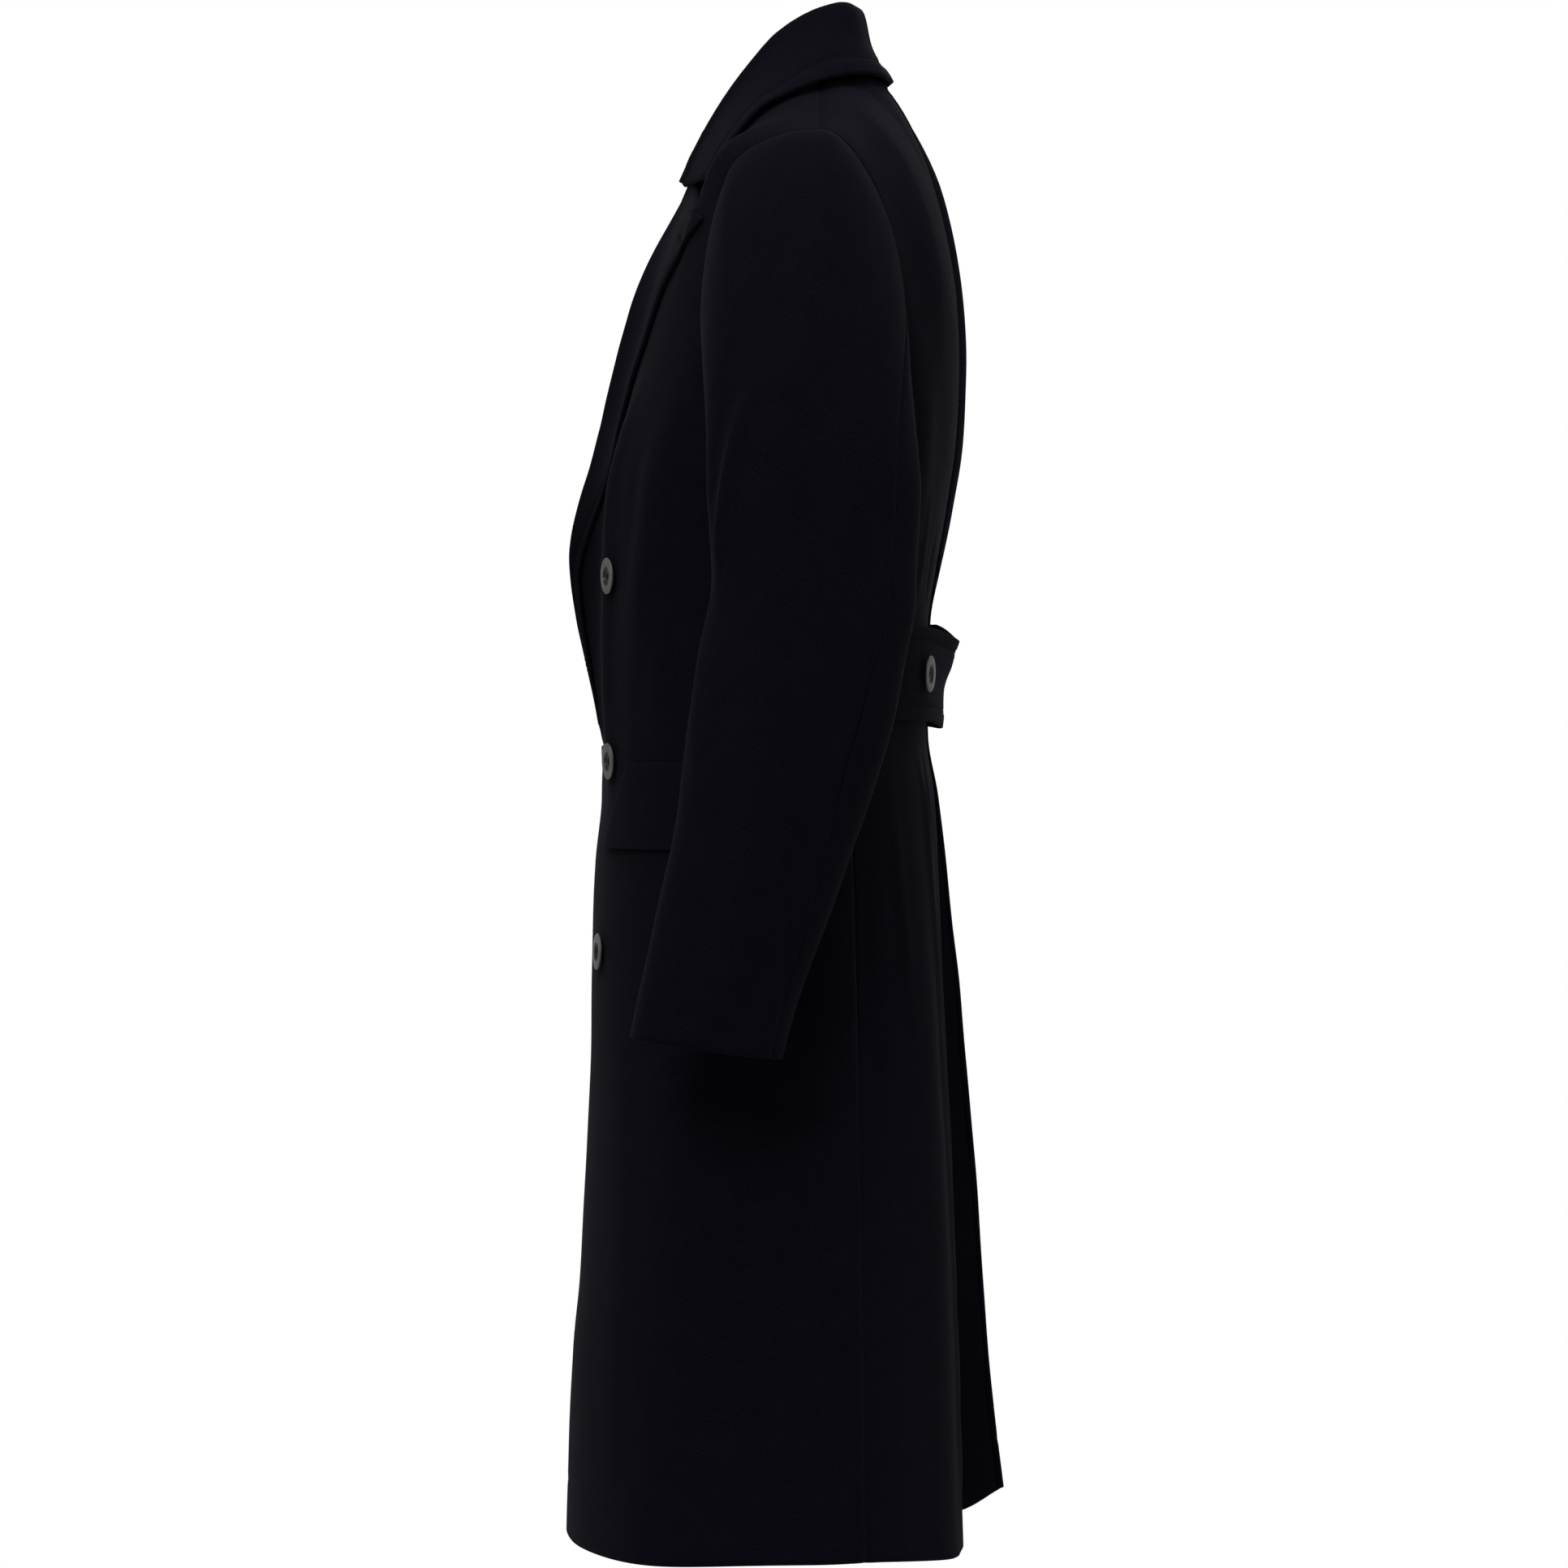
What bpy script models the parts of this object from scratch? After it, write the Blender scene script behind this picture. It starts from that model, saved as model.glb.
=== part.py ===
"""Double-breasted wool overcoat, filled out as worn: hollow cloth walls, joined as a tailor joins them.

Metres, +Z up. +X is the wearer's left and -Y is the front. The origin lies midway between the two shoulder
points, where the wearer holds the coat up. Sizes and tables are in millimetres. A level is a height measured
down from the shoulder seam, and an angle runs round the body from the front centre to the back centre.
"""

import math

import bpy
import numpy as np
from mathutils import Vector

MM = 0.001
COAT = "overcoat"
LEFT = 1
RIGHT = -1
SIDE_WORDS = {LEFT: "left", RIGHT: "right"}
HALF_TURN = 180.0
FULL_TURN = 360.0
NORMAL_TURN = 0.002
NORMAL_DROP = 0.5
MERGE_DISTANCE = 0.00001

# Cloth, seams and the gaps between layers
CLOTH = 2.5
DOUBLE_CLOTH = 3.0
SEAM_GAP = 0.7
SLEEVE_GAP = 1.3
ARMHOLE_GAP = 1.0
SHOULDER_GAP = 0.8
LAY_GAP = 0.8

# Shoulders and armholes
SHOULDER_X = 232.0
NECK_X = 75.0
NECK_RISE = 57.0
NAPE_RISE = 26.0
RISE_FADE = 200.0
FRONT_ARCH = 130.0
FRONT_SIDE_ARCH = 32.0
BACK_ARCH = 160.0
BACK_SIDE_ARCH = 275.0
ARCH_TURN_X = 140.0
ARCH_POWER = 0.41
ARMPIT = -218.0
ARMHOLE_X = 204.0
ARMHOLE_SPRING = 115.0
ARMHOLE_BOWL = 110.0
SECTION_POWER = 2.4

# Wrap of the fronts, roll of the lapels and neckline
WRAP_X = 98.0
BREAK_LEVEL = -432.0
ROLL_TOP_LEVEL = -52.0
ROLL_TOP_X = 72.0
ROLL_REACH = 70.0
NAPE_DROP = 10.0
NAPE_DIP = 0.5
TUCK_RUN = 26.0
ROLL_EXPOSE = 90.0
GORGE_LEVEL = -58.0
LAPEL_TIP_X = 186.0
LAPEL_TIP_LEVEL = -67.0
LAPEL_START = 6.0
LAPEL_BELLY = 9.0
LAPEL_GAPS = {LEFT: 1.2, RIGHT: 3.3}
LAPEL_TIP_GAP = 1.5

# Back pleat
PLEAT_HALF_GAP = 1.5
PLEAT_RETURN = 52.0
PLEAT_LAYER_GAP = 2.0
PLEAT_TOP_LEVEL = -58.0
PLEAT_SHORT = 8.0
KICK_REACH = 70.0

# Half belt
BELT_TOP = -356.0
BELT_BOTTOM = -429.0
BELT_HALF_LENGTH = 200.0
BELT_GAP = 2.3
BELT_EASE = 3.6
BELT_STAND_TOP = 17.0
BELT_STAND_BOTTOM = 7.0
BELT_STAND_REACH = 75.0
BELT_BUTTON_X = 129.0

# Pocket flaps
FLAP_TOP = -457.0
FLAP_GAP = 1.3
FLAP_DROP = 64.0
FLAP_FRONT_X = 156.0
FLAP_SLANT = 44.0
FLAP_BACK_ANGLE = math.radians(84)

# Buttons
BUTTON_RADIUS = 13.5
BUTTON_STEPS = 14

# Button profile, from the middle of its face over the rim to the middle of its back
BUTTON_PROFILE_COLUMNS = ("radius_share", "height")
BUTTON_PROFILE = (
    (0.0, 2.6),
    (0.60, 2.8),
    (0.80, 4.2),
    (0.92, 4.3),
    (1.0, 3.0),
    (0.94, 1.0),
    (0.70, 0.0),
    (0.0, 0.0),
)

# Seats of the buttons
BELT_BUTTON_SEAT = 0.6

# Front buttons: their side, the front that carries them, and how far they stand off its smooth face
BUTTON_COLUMNS = ("name", "side", "carrier", "x", "level", "seat")
BUTTONS = (
    ("button_left_1", LEFT, LEFT, 114, -316, -0.1),
    ("button_left_2", LEFT, LEFT, 112, -456, 0.6),
    ("button_left_3", LEFT, LEFT, 110, -598, 0.6),
    ("button_right_1", RIGHT, RIGHT, 75, -316, -0.8),
    ("button_right_2", RIGHT, LEFT, 75, -456, 0.9),
    ("button_right_3", RIGHT, LEFT, 75, -598, 0.3),
)

# Sleeves
SLEEVE_JOIN_Z = -268.0
SLEEVE_POWER = 2.15
CAP_ROWS = 7
CAP_DROP = 0.5
CAP_FLARE = 0.22
CAP_PULL = 0.8
ARM_ROWS = 9
ARMHOLE_STEPS = 12
FRONT_SEAM_STEP = 8
BACK_SEAM_STEP = 3

# Grid sizes
FRONT_COLUMNS = 20
FRONT_CROWDING = 1.2
BACK_COLUMNS = 10
SKIRT_ROWS = 13
LAPEL_COLUMNS = 5
LAPEL_ROWS = 12
COLLAR_STATIONS = 20
COLLAR_STEPS = 10
BELT_COLUMNS = 18
BELT_ROWS = 2
FLAP_COLUMNS = 8
FLAP_ROWS = 3

# Body sections, a row for each level: half width, then front, side and back places along Y
SECTION_COLUMNS = ("level", "half_width", "front", "side", "back")
SECTIONS = (
    (0, 248, -106, 0, 108),
    (-60, 255, -112, -2, 109),
    (-100, 247, -122, -4, 109),
    (-140, 240, -132, -7, 108),
    (-180, 236, -145, -10, 107),
    (-213, 235, -156, -12, 105),
    (-262, 232, -166, -14, 98),
    (-310, 228, -168, -17, 90),
    (-350, 225, -168, -19, 84),
    (-434, 225, -167, -22, 82),
    (-482, 230, -168, -22, 88),
    (-531, 236, -171, -22, 91),
    (-604, 243, -174, -21, 94.5),
    (-680, 248, -176, -19, 98),
    (-780, 256, -181, -16, 103),
    (-905, 265, -188, -13, 107),
    (-1055, 273, -191, -12, 111),
)

# Side seams: where they run along Y
SEAM_COLUMNS = ("level", "seam")
SIDE_SEAM = ((-218, 12), (-400, 20), (-610, 27), (-1055, 33))

# Lapel roll: how far the turned edge stands forward of the chest
ROLL_COLUMNS = ("level", "lift")
ROLL = (
    (-432, 0),
    (-407, 1),
    (-382, 4),
    (-357, 9.5),
    (-332, 14.5),
    (-295, 17.5),
    (-233, 14),
    (-140, 17),
    (-86, 11),
    (-52, 4),
    (0, 0),
)

# How far the right front lies inside the left one, and how far its pleat edge kicks out
TUCK_COLUMNS = ("level", "tuck")
TUCK = ((-1055, 4.6), (-480, 4.8), (-436, 9.8), (0, 9.8))
KICK_COLUMNS = ("level", "kick")
KICK = (
    (0, 0),
    (-30, 2),
    (-100, 6),
    (-258, 6),
    (-348, 2),
    (-434, 2),
    (-482, 4),
    (-531, 7),
    (-581, 10),
    (-631, 13.5),
    (-681, 15),
    (-780, 19),
    (-830, 21),
    (-905, 24),
    (-954, 27),
    (-1004, 32),
    (-1055, 37),
)

# Hem: its height round the body, on each side
HEM_COLUMNS = ("degrees", "left", "right")
HEM = (
    (-30, -1040, -1038),
    (40, -1038, -1036),
    (100, -1030, -1030),
    (150, -1042, -1026),
    (180, -1051, -1012),
)

# Share of a fold's length over which it rises or dies away
FOLD_FADE = 0.4

# Largest folds of the body: side, angle at the top and bottom, levels, height and half width in degrees
FOLD_COLUMNS = ("side", "top_degrees", "bottom_degrees", "top", "bottom", "height", "spread")
FOLDS = (
    (LEFT, 57, 41, -120, -430, 6, 9),
    (LEFT, 124, 140, -60, -340, 6, 9),
    (LEFT, 142, 146, -440, -1060, 7, 11),
    (LEFT, 66, 60, -560, -1060, 6, 13),
    (LEFT, 96, 98, -640, -1060, 5, 11),
    (RIGHT, 56, 40, -130, -420, 5, 9),
    (RIGHT, 126, 138, -70, -330, 6, 9),
    (RIGHT, 138, 142, -440, -1060, 6, 12),
    (RIGHT, 62, 57, -580, -1060, 6, 13),
    (RIGHT, 98, 94, -660, -1060, 5, 11),
)

# Sleeve sections, a row for each height: place and half depth along Y, place and half width along X, tilt
SLEEVE_COLUMNS = ("z", "middle", "half_depth", "across", "half_width", "tilt")
SLEEVE = (
    (-200, -4, 78, 294, 54, 0),
    (-268, -4, 75.5, 297, 52, 0),
    (-337, -4.5, 72.5, 300, 50, 0),
    (-384, -13, 73, 302, 49, 0.02),
    (-424, -20.5, 72.5, 303, 48, 0.04),
    (-462, -28.5, 69.5, 304, 47, 0.06),
    (-500, -37, 65, 305, 45, 0.08),
    (-560, -53.5, 60.5, 306, 42, 0.10),
    (-627, -73, 55, 306, 39, 0.13),
    (-660, -81, 54, 306, 38, 0.14),
)

# Sleeve seams: degrees round the sleeve from its outer side towards the front
SLEEVE_SEAM_COLUMNS = ("z", "front", "back")
SLEEVE_SEAMS = (
    (-200, 120, -45),
    (-268, 120, -49),
    (-337, 120, -47),
    (-453, 118, -39),
    (-520, 117, -46),
    (-660, 116, -58),
)

# Largest folds of the sleeves: degrees and height of each end, rise and half width in degrees
SLEEVE_FOLD_COLUMNS = ("top_degrees", "bottom_degrees", "top", "bottom", "height", "spread")
SLEEVE_FOLDS = (
    (68, 84, -150, -345, 6, 14),
    (96, 62, -330, -470, 5, 13),
    (-70, -38, -360, -500, 4, 13),
)

# Collar, from the back centre to its front end: the crest of the fold, the edge of the fall and its swell
COLLAR_COLUMNS = ("station", "crest_x", "crest_y", "crest_z", "edge_x", "edge_y", "edge_z", "bulge")
COLLAR = (
    (0.00, 0, 29, 123, 0, 58, 65, -5),
    (0.18, 38, 19, 121, 44, 50, 64, -4),
    (0.34, 58, -4, 112, 82, 29, 61, 1),
    (0.48, 64, -30, 95, 113, 3, 53, 5),
    (0.60, 66, -50, 73, 129, -16, 44, 6),
    (0.74, 67, -72, 43, 140, -41, 31, 6),
    (0.88, 69, -91, 11, 147, -65, 3, 6),
    (1.00, 75, -104, -19, 145, -82, -24, 6),
)
COLLAR_FOLD = 6.0
COLLAR_FALL_START = 0.7
COLLAR_SEAM_RISE = 1.0
COLLAR_STEP_IN = 4.6
COLLAR_END_STEP_IN = 4.0
COLLAR_NAPE_SHARE = 0.42
NECK_AXIS_Y = -22.0

WOOL = ((0.0045, 0.0042, 0.0070), 0.92)
HORN = ((0.020, 0.019, 0.022), 0.42)


class Track:
    """A smooth curve through one or more columns of a table, against its first column."""

    def __init__(self, names, rows):
        table = np.array(sorted(rows), float)
        self.places = table[:, 0]
        self.columns = {}
        for index, name in enumerate(names[1:], start=1):
            values = table[:, index]
            self.columns[name] = (values, self.slopes(values))

    def slopes(self, values):
        """Slopes at the rows that never carry the curve past a row's own value."""
        rise = np.diff(values) / np.diff(self.places)
        before = np.concatenate([rise[:1], rise])
        after = np.concatenate([rise, rise[-1:]])
        total = np.where(before * after > 0, before + after, 1)
        return np.where(before * after > 0, 2 * before * after / total, 0)

    def at(self, name, place):
        """The value of a column at a place, by cubic steps between the rows."""
        values, slopes = self.columns[name]
        place = np.clip(place, self.places[0], self.places[-1])
        low = np.clip(np.searchsorted(self.places, place) - 1, 0, len(self.places) - 2)
        step = self.places[low + 1] - self.places[low]
        t = (place - self.places[low]) / step
        rise = values[low + 1] - values[low]
        start = step * slopes[low] - rise
        end = rise - step * slopes[low + 1]
        return values[low] + t * rise + t * (1 - t) * ((1 - t) * start + t * end)


BODY = Track(SECTION_COLUMNS, SECTIONS)
SEAM = Track(SEAM_COLUMNS, SIDE_SEAM)
ROLL_LIFT = Track(ROLL_COLUMNS, ROLL)
TUCK_DEPTH = Track(TUCK_COLUMNS, TUCK)
KICK_OUT = Track(KICK_COLUMNS, KICK)
HEM_LEVEL = Track(HEM_COLUMNS, HEM)
SLEEVE_RING = Track(SLEEVE_COLUMNS, SLEEVE)
SLEEVE_SEAM = Track(SLEEVE_SEAM_COLUMNS, SLEEVE_SEAMS)
COLLAR_LINE = Track(COLLAR_COLUMNS, COLLAR)


def unit(vectors):
    """Vectors made one long."""
    return vectors / np.linalg.norm(vectors, axis=-1, keepdims=True)


def eased(share):
    """A smooth step from 0 to 1."""
    share = np.clip(share, 0, 1)
    return share * share * (3 - 2 * share)


def arch(drop, height):
    """How far the cloth has rounded over from the shoulder seam, from 0 at the seam to 1."""
    left = 1 - np.clip(drop / height, 0, 1)
    return np.clip(1 - left * left, 0, 1) ** ARCH_POWER


def shoulder_rise(x, level):
    """How far the slope of the shoulder lifts a point at this level."""
    slope = NECK_RISE * (SHOULDER_X - np.maximum(np.abs(x), NECK_X)) / (SHOULDER_X - NECK_X)
    nape = NAPE_RISE * np.clip(1 - (x / NECK_X) ** 2, 0, 1)
    return (slope + nape) * np.clip(1 + level / RISE_FADE, 0, 1) ** 2


def angle_at(x, level):
    """The angle on the front half of the section where the cloth stands at this distance across."""
    share = np.clip(np.abs(x) / BODY.at("half_width", level), 0, 1)
    return np.sign(x) * np.arcsin(share ** (SECTION_POWER / 2))


def window(place, start, end):
    """1 inside a stretch, falling softly to 0 at both ends."""
    share = np.clip((place - start) / (end - start), 0, 1)
    return np.sin(np.pi * np.sqrt(share)) ** 2


def fold_height(side, angle, level):
    """The height of the body's largest folds at a point."""
    total = np.zeros(np.broadcast(angle, level).shape)
    for row in FOLDS:
        fold = dict(zip(FOLD_COLUMNS, row))
        if fold["side"] != side:
            continue
        share = np.clip((fold["top"] - level) / (fold["top"] - fold["bottom"]), 0, 1)
        middle = fold["top_degrees"] + share * (fold["bottom_degrees"] - fold["top_degrees"])
        off = (np.degrees(angle) - middle) / fold["spread"]
        reach = eased(share / FOLD_FADE)
        if fold["bottom"] > HEM[0][1]:
            reach = reach * eased((1 - share) / FOLD_FADE)
        total = total + fold["height"] * np.exp(-off * off) * reach
    return total


def body_point(side, angle, level):
    """A point on the coat's outer face, as (x, y, z) with x towards the wearer's left."""
    power = 2 / SECTION_POWER
    across = np.sign(np.sin(angle)) * np.abs(np.sin(angle)) ** power
    along = np.abs(np.cos(angle)) ** power
    middle = BODY.at("side", level)
    x = BODY.at("half_width", level) * across
    aside = eased((np.abs(x) - ARCH_TURN_X) / (ARMHOLE_X - ARCH_TURN_X))
    front_arch = FRONT_ARCH + (FRONT_SIDE_ARCH - FRONT_ARCH) * aside
    back_arch = BACK_ARCH + (BACK_SIDE_ARCH - BACK_ARCH) * aside
    front = (BODY.at("front", level) - middle) * along * arch(-level, front_arch)
    back = (BODY.at("back", level) - middle) * along * arch(-level, back_arch)
    z = level + shoulder_rise(x, level)
    y = middle + np.where(np.cos(angle) >= 0, front, back)
    lift = fold_height(side, angle, level)
    x = x + lift * np.sin(angle)
    y = y - lift * np.cos(angle)
    return np.stack(np.broadcast_arrays(side * x, y, z), axis=-1)


def roll_x(level):
    """Where a front's turned edge runs across the chest, measured towards its own side."""
    share = (level - BREAK_LEVEL) / (ROLL_TOP_LEVEL - BREAK_LEVEL)
    rolled = -WRAP_X + (ROLL_TOP_X + WRAP_X) * np.clip(share, 0, 1)
    neck = np.clip((level - ROLL_TOP_LEVEL) / -ROLL_TOP_LEVEL, 0, 1)
    return rolled + (NECK_X - ROLL_TOP_X) * neck


def front_point(side, angle, level):
    """A point on a front's outer face, with its lapel roll and the right one's place under the left one."""
    point = body_point(side, angle, level)
    own_x = side * point[..., 0]
    away = np.clip(1 - (own_x - roll_x(level)) / ROLL_REACH, 0, 1)
    lift = ROLL_LIFT.at("lift", level) * away * away
    if side == RIGHT:
        lift = lift * eased(2 * roll_x(level) / ROLL_EXPOSE)
        under = eased((TUCK_RUN - own_x - roll_x(level)) / TUCK_RUN)
        lift = lift - under * TUCK_DEPTH.at("tuck", level)
    point[..., 1] = point[..., 1] - lift
    return point


def back_point(side, angle, level):
    """A point on a back's outer face, with the kick of the right pleat edge."""
    point = body_point(side, angle, level)
    if side == RIGHT:
        away = point[..., 0] / KICK_REACH
        point[..., 1] = point[..., 1] + KICK_OUT.at("kick", level) * np.exp(-away * away)
    return point


def moved_out(surface, side, angle, level, distance):
    """Points of a surface moved out along its normal."""
    along = surface(side, angle + NORMAL_TURN, level) - surface(side, angle - NORMAL_TURN, level)
    above = surface(side, angle, np.minimum(level + NORMAL_DROP, -NORMAL_DROP))
    up = above - surface(side, angle, level - NORMAL_DROP)
    normal = side * np.cross(along, up)
    return surface(side, angle, level) + unit(normal) * np.asarray(distance)[..., None]


def seam_angle(level):
    """The angle of the side seam."""
    middle = BODY.at("side", level)
    share = (SEAM.at("seam", level) - middle) / (BODY.at("back", level) - middle)
    return math.pi / 2 + np.arcsin(np.clip(share, 0, 1) ** (SECTION_POWER / 2))


def armhole_angles(level):
    """The angles of a front's and a back's outer edge at a level: the armhole, or the side seam below it."""
    seam = seam_angle(np.minimum(level, ARMPIT))
    spring = np.clip(1 + level / ARMHOLE_SPRING, 0, 1) ** 2
    opening = angle_at(ARMHOLE_X + (SHOULDER_X - ARMHOLE_X) * spring, level)
    left = 1 - np.clip((level - ARMPIT) / ARMHOLE_BOWL, 0, 1)
    bowl = 1 - np.sqrt(1 - left * left)
    front_edge = opening + (seam - opening) * bowl
    back_edge = math.pi - opening + (seam - math.pi + opening) * bowl
    return front_edge, back_edge


def armhole_levels():
    """The levels of the armhole's points, from the shoulder to the armpit, closest at both ends."""
    turns = np.linspace(0, math.pi, ARMHOLE_STEPS + 1)
    return ARMPIT * (1 - np.cos(turns)) / 2


def panel_rows(side, inner, outer, shares):
    """Angles and levels of a panel's grid, from its shoulder to its hem, between two edges given by level."""
    columns = len(shares) - 1
    angles = []
    levels = []
    for level in armhole_levels():
        start = inner(level)
        end = outer(level)
        angles.append(start + (end - start) * shares)
        levels.append(np.full(columns + 1, level))
    for row in range(1, SKIRT_ROWS + 1):
        guess = ARMPIT + (HEM[0][1] - ARMPIT) * row / SKIRT_ROWS
        start = inner(guess)
        end = outer(guess)
        angle = start + (end - start) * shares
        hem = HEM_LEVEL.at(SIDE_WORDS[side], np.degrees(angle))
        angles.append(angle)
        levels.append(ARMPIT + (hem - ARMPIT) * row / SKIRT_ROWS)
    return np.array(angles), np.array(levels)


def seam_turn(level):
    """Half of a seam's gap, as an angle round the body."""
    return SEAM_GAP / BODY.at("half_width", level)


def cloth(name, grid, thickness, finish, inside_out=False):
    """An object from a grid of outer points, given its thickness on the inner side."""
    rows, columns = grid.shape[:2]
    faces = []
    for row in range(rows - 1):
        for column in range(columns - 1):
            corner = row * columns + column
            face = (corner, corner + 1, corner + columns + 1, corner + columns)
            faces.append(face[::-1] if inside_out else face)
    mesh = bpy.data.meshes.new(name)
    mesh.from_pydata((grid.reshape(-1, 3) * MM).tolist(), [], faces)
    mesh.materials.append(finish)
    mesh.shade_smooth()
    piece = bpy.data.objects.new(name, mesh)
    wall = piece.modifiers.new("wall", "SOLIDIFY")
    wall.thickness = thickness * MM
    wall.offset = -1
    wall.use_even_offset = True
    wall.use_quality_normals = True
    return piece


def front(side, name, finish):
    """One front, from its wrapped edge and lapel roll to its side seam and armhole."""

    def inner(level):
        return angle_at(roll_x(level), level)

    def outer(level):
        return armhole_angles(level)[0] - seam_turn(level)

    shares = np.linspace(0, 1, FRONT_COLUMNS + 1) ** FRONT_CROWDING
    angles, levels = panel_rows(side, inner, outer, shares)
    return cloth(name, shoulder_parted(front_point(side, angles, levels), 1), CLOTH, finish, side == LEFT)


def shoulder_parted(grid, facing):
    """A panel's grid with its shoulder edge drawn back by the gap: 1 towards the front, -1 to the back."""
    grid = grid.copy()
    grid[0, :, 1] = grid[0, :, 1] - facing * SHOULDER_GAP
    return grid


def back(side, name, finish):
    """One back, from its pleat edge to its side seam, armhole, shoulder and neckline."""

    def inner(level):
        return math.pi - angle_at(PLEAT_HALF_GAP, level)

    def outer(level):
        return armhole_angles(level)[1] + seam_turn(level)

    angles, levels = panel_rows(side, inner, outer, np.linspace(0, 1, BACK_COLUMNS + 1))
    levels[0] = 0
    grid = back_neckline(back_point(side, angles, levels), side, angles, levels)
    return cloth(name, shoulder_parted(grid, -1), CLOTH, finish, side == RIGHT)


def back_neckline(grid, side, angles, levels):
    """A back's grid with its top row carried along the neckline between the centre and the neck point."""
    across = np.abs(grid[0, :, 0])
    drop = np.clip(1 - (across / NECK_X) ** 2, 0, 1) * NAPE_DROP
    top = back_point(side, angles[0], levels[0] - drop)
    share = np.linspace(1, 0, ARMHOLE_STEPS + 1)
    grid[0] = top
    for row, part in list(enumerate(share))[1:]:
        lowered = np.minimum(levels[row], levels[0] - drop * part)
        grid[row] = back_point(side, angles[row], lowered - drop * part * NAPE_DIP)
    return grid


def lapel(side, name, finish):
    """One lapel: the facing turned back at the roll, lying on its front."""
    rows = []
    for share in np.linspace(0, 1, LAPEL_ROWS + 1):
        start = BREAK_LEVEL + LAPEL_START
        roll_level = start + (GORGE_LEVEL - start) * share
        edge_level = start + (LAPEL_TIP_LEVEL - start) * share
        from_x = roll_x(roll_level)
        belly = LAPEL_BELLY * 4 * share * (1 - share)
        to_x = -WRAP_X + LAPEL_START + (LAPEL_TIP_X + WRAP_X - LAPEL_START) * share + belly
        part = np.linspace(0, 1, LAPEL_COLUMNS + 1)
        level = roll_level + (edge_level - roll_level) * part
        angle = angle_at(from_x + (to_x - from_x) * part, level)
        distance = LAPEL_GAPS[side] + LAPEL_TIP_GAP * share * share * part + DOUBLE_CLOTH
        rows.append(moved_out(front_point, side, angle, level, distance))
    return cloth(name, np.array(rows), DOUBLE_CLOTH, finish, side == RIGHT)


def pleat_point(surface, side, x, depth, level):
    """A point of the pleat, at a depth inside the back's outer face."""
    return moved_out(surface, side, math.pi - angle_at(x, level), level, np.array(-depth))


def pleat(name, finish):
    """The inverted pleat: a return behind each back and the underlay that joins them."""
    edge = CLOTH + LAY_GAP
    inset = edge + PLEAT_LAYER_GAP
    deep = inset + CLOTH + PLEAT_LAYER_GAP
    path = (
        (back_point, LEFT, PLEAT_HALF_GAP + CLOTH, edge),
        (back_point, LEFT, PLEAT_RETURN / 2, inset),
        (back_point, LEFT, PLEAT_RETURN, inset),
        (body_point, LEFT, PLEAT_RETURN + CLOTH, deep),
        (body_point, LEFT, PLEAT_RETURN / 2, deep + CLOTH),
        (body_point, RIGHT, PLEAT_RETURN / 2, deep + CLOTH),
        (body_point, RIGHT, PLEAT_RETURN + CLOTH, deep),
        (body_point, RIGHT, PLEAT_RETURN, inset),
        (back_point, RIGHT, PLEAT_RETURN / 2, inset),
        (back_point, RIGHT, PLEAT_HALF_GAP + CLOTH, edge),
    )
    upper = armhole_levels()
    upper = upper[upper <= PLEAT_TOP_LEVEL]
    rows = [[pleat_point(*place, level) for place in path] for level in upper]
    for row in range(1, SKIRT_ROWS + 1):
        points = []
        for place in path:
            hem = HEM_LEVEL.at(SIDE_WORDS[place[1]], HALF_TURN)
            level = ARMPIT + (hem - ARMPIT) * row / SKIRT_ROWS
            points.append(pleat_point(*place, level + PLEAT_SHORT * (row == SKIRT_ROWS)))
        rows.append(points)
    return cloth(name, np.array(rows), CLOTH, finish, False)


def sleeve_point(side, degrees, z):
    """A point on a sleeve's outer face below its cap."""
    turn = np.radians(degrees)
    power = 2 / SLEEVE_POWER
    across = np.sign(np.cos(turn)) * np.abs(np.cos(turn)) ** power
    ahead = np.sign(np.sin(turn)) * np.abs(np.sin(turn)) ** power
    lift = np.zeros(np.broadcast(degrees, z).shape)
    for row in SLEEVE_FOLDS:
        fold = dict(zip(SLEEVE_FOLD_COLUMNS, row))
        share = (fold["top"] - z) / (fold["top"] - fold["bottom"])
        middle = fold["top_degrees"] + share * (fold["bottom_degrees"] - fold["top_degrees"])
        off = (degrees - middle) / fold["spread"]
        lift = lift + fold["height"] * np.exp(-off * off) * window(share, 0, 1)
    y = -(SLEEVE_RING.at("half_depth", z) + lift) * ahead
    x = SLEEVE_RING.at("across", z) + (SLEEVE_RING.at("half_width", z) + lift) * across
    height = z - SLEEVE_RING.at("tilt", z) * y
    return np.stack(np.broadcast_arrays(side * x, SLEEVE_RING.at("middle", z) + y, height), axis=-1)


def armhole_loop(side):
    """The armhole's points, from the shoulder down the front to the armpit and up the back."""
    levels = armhole_levels()
    front_edge, back_edge = armhole_angles(levels)
    down = front_point(side, front_edge, levels)
    up = back_point(side, back_edge, levels)[::-1]
    loop = np.concatenate([down, up[1:-1]])
    loop[:, 0] = loop[:, 0] + side * ARMHOLE_GAP
    return loop


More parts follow.
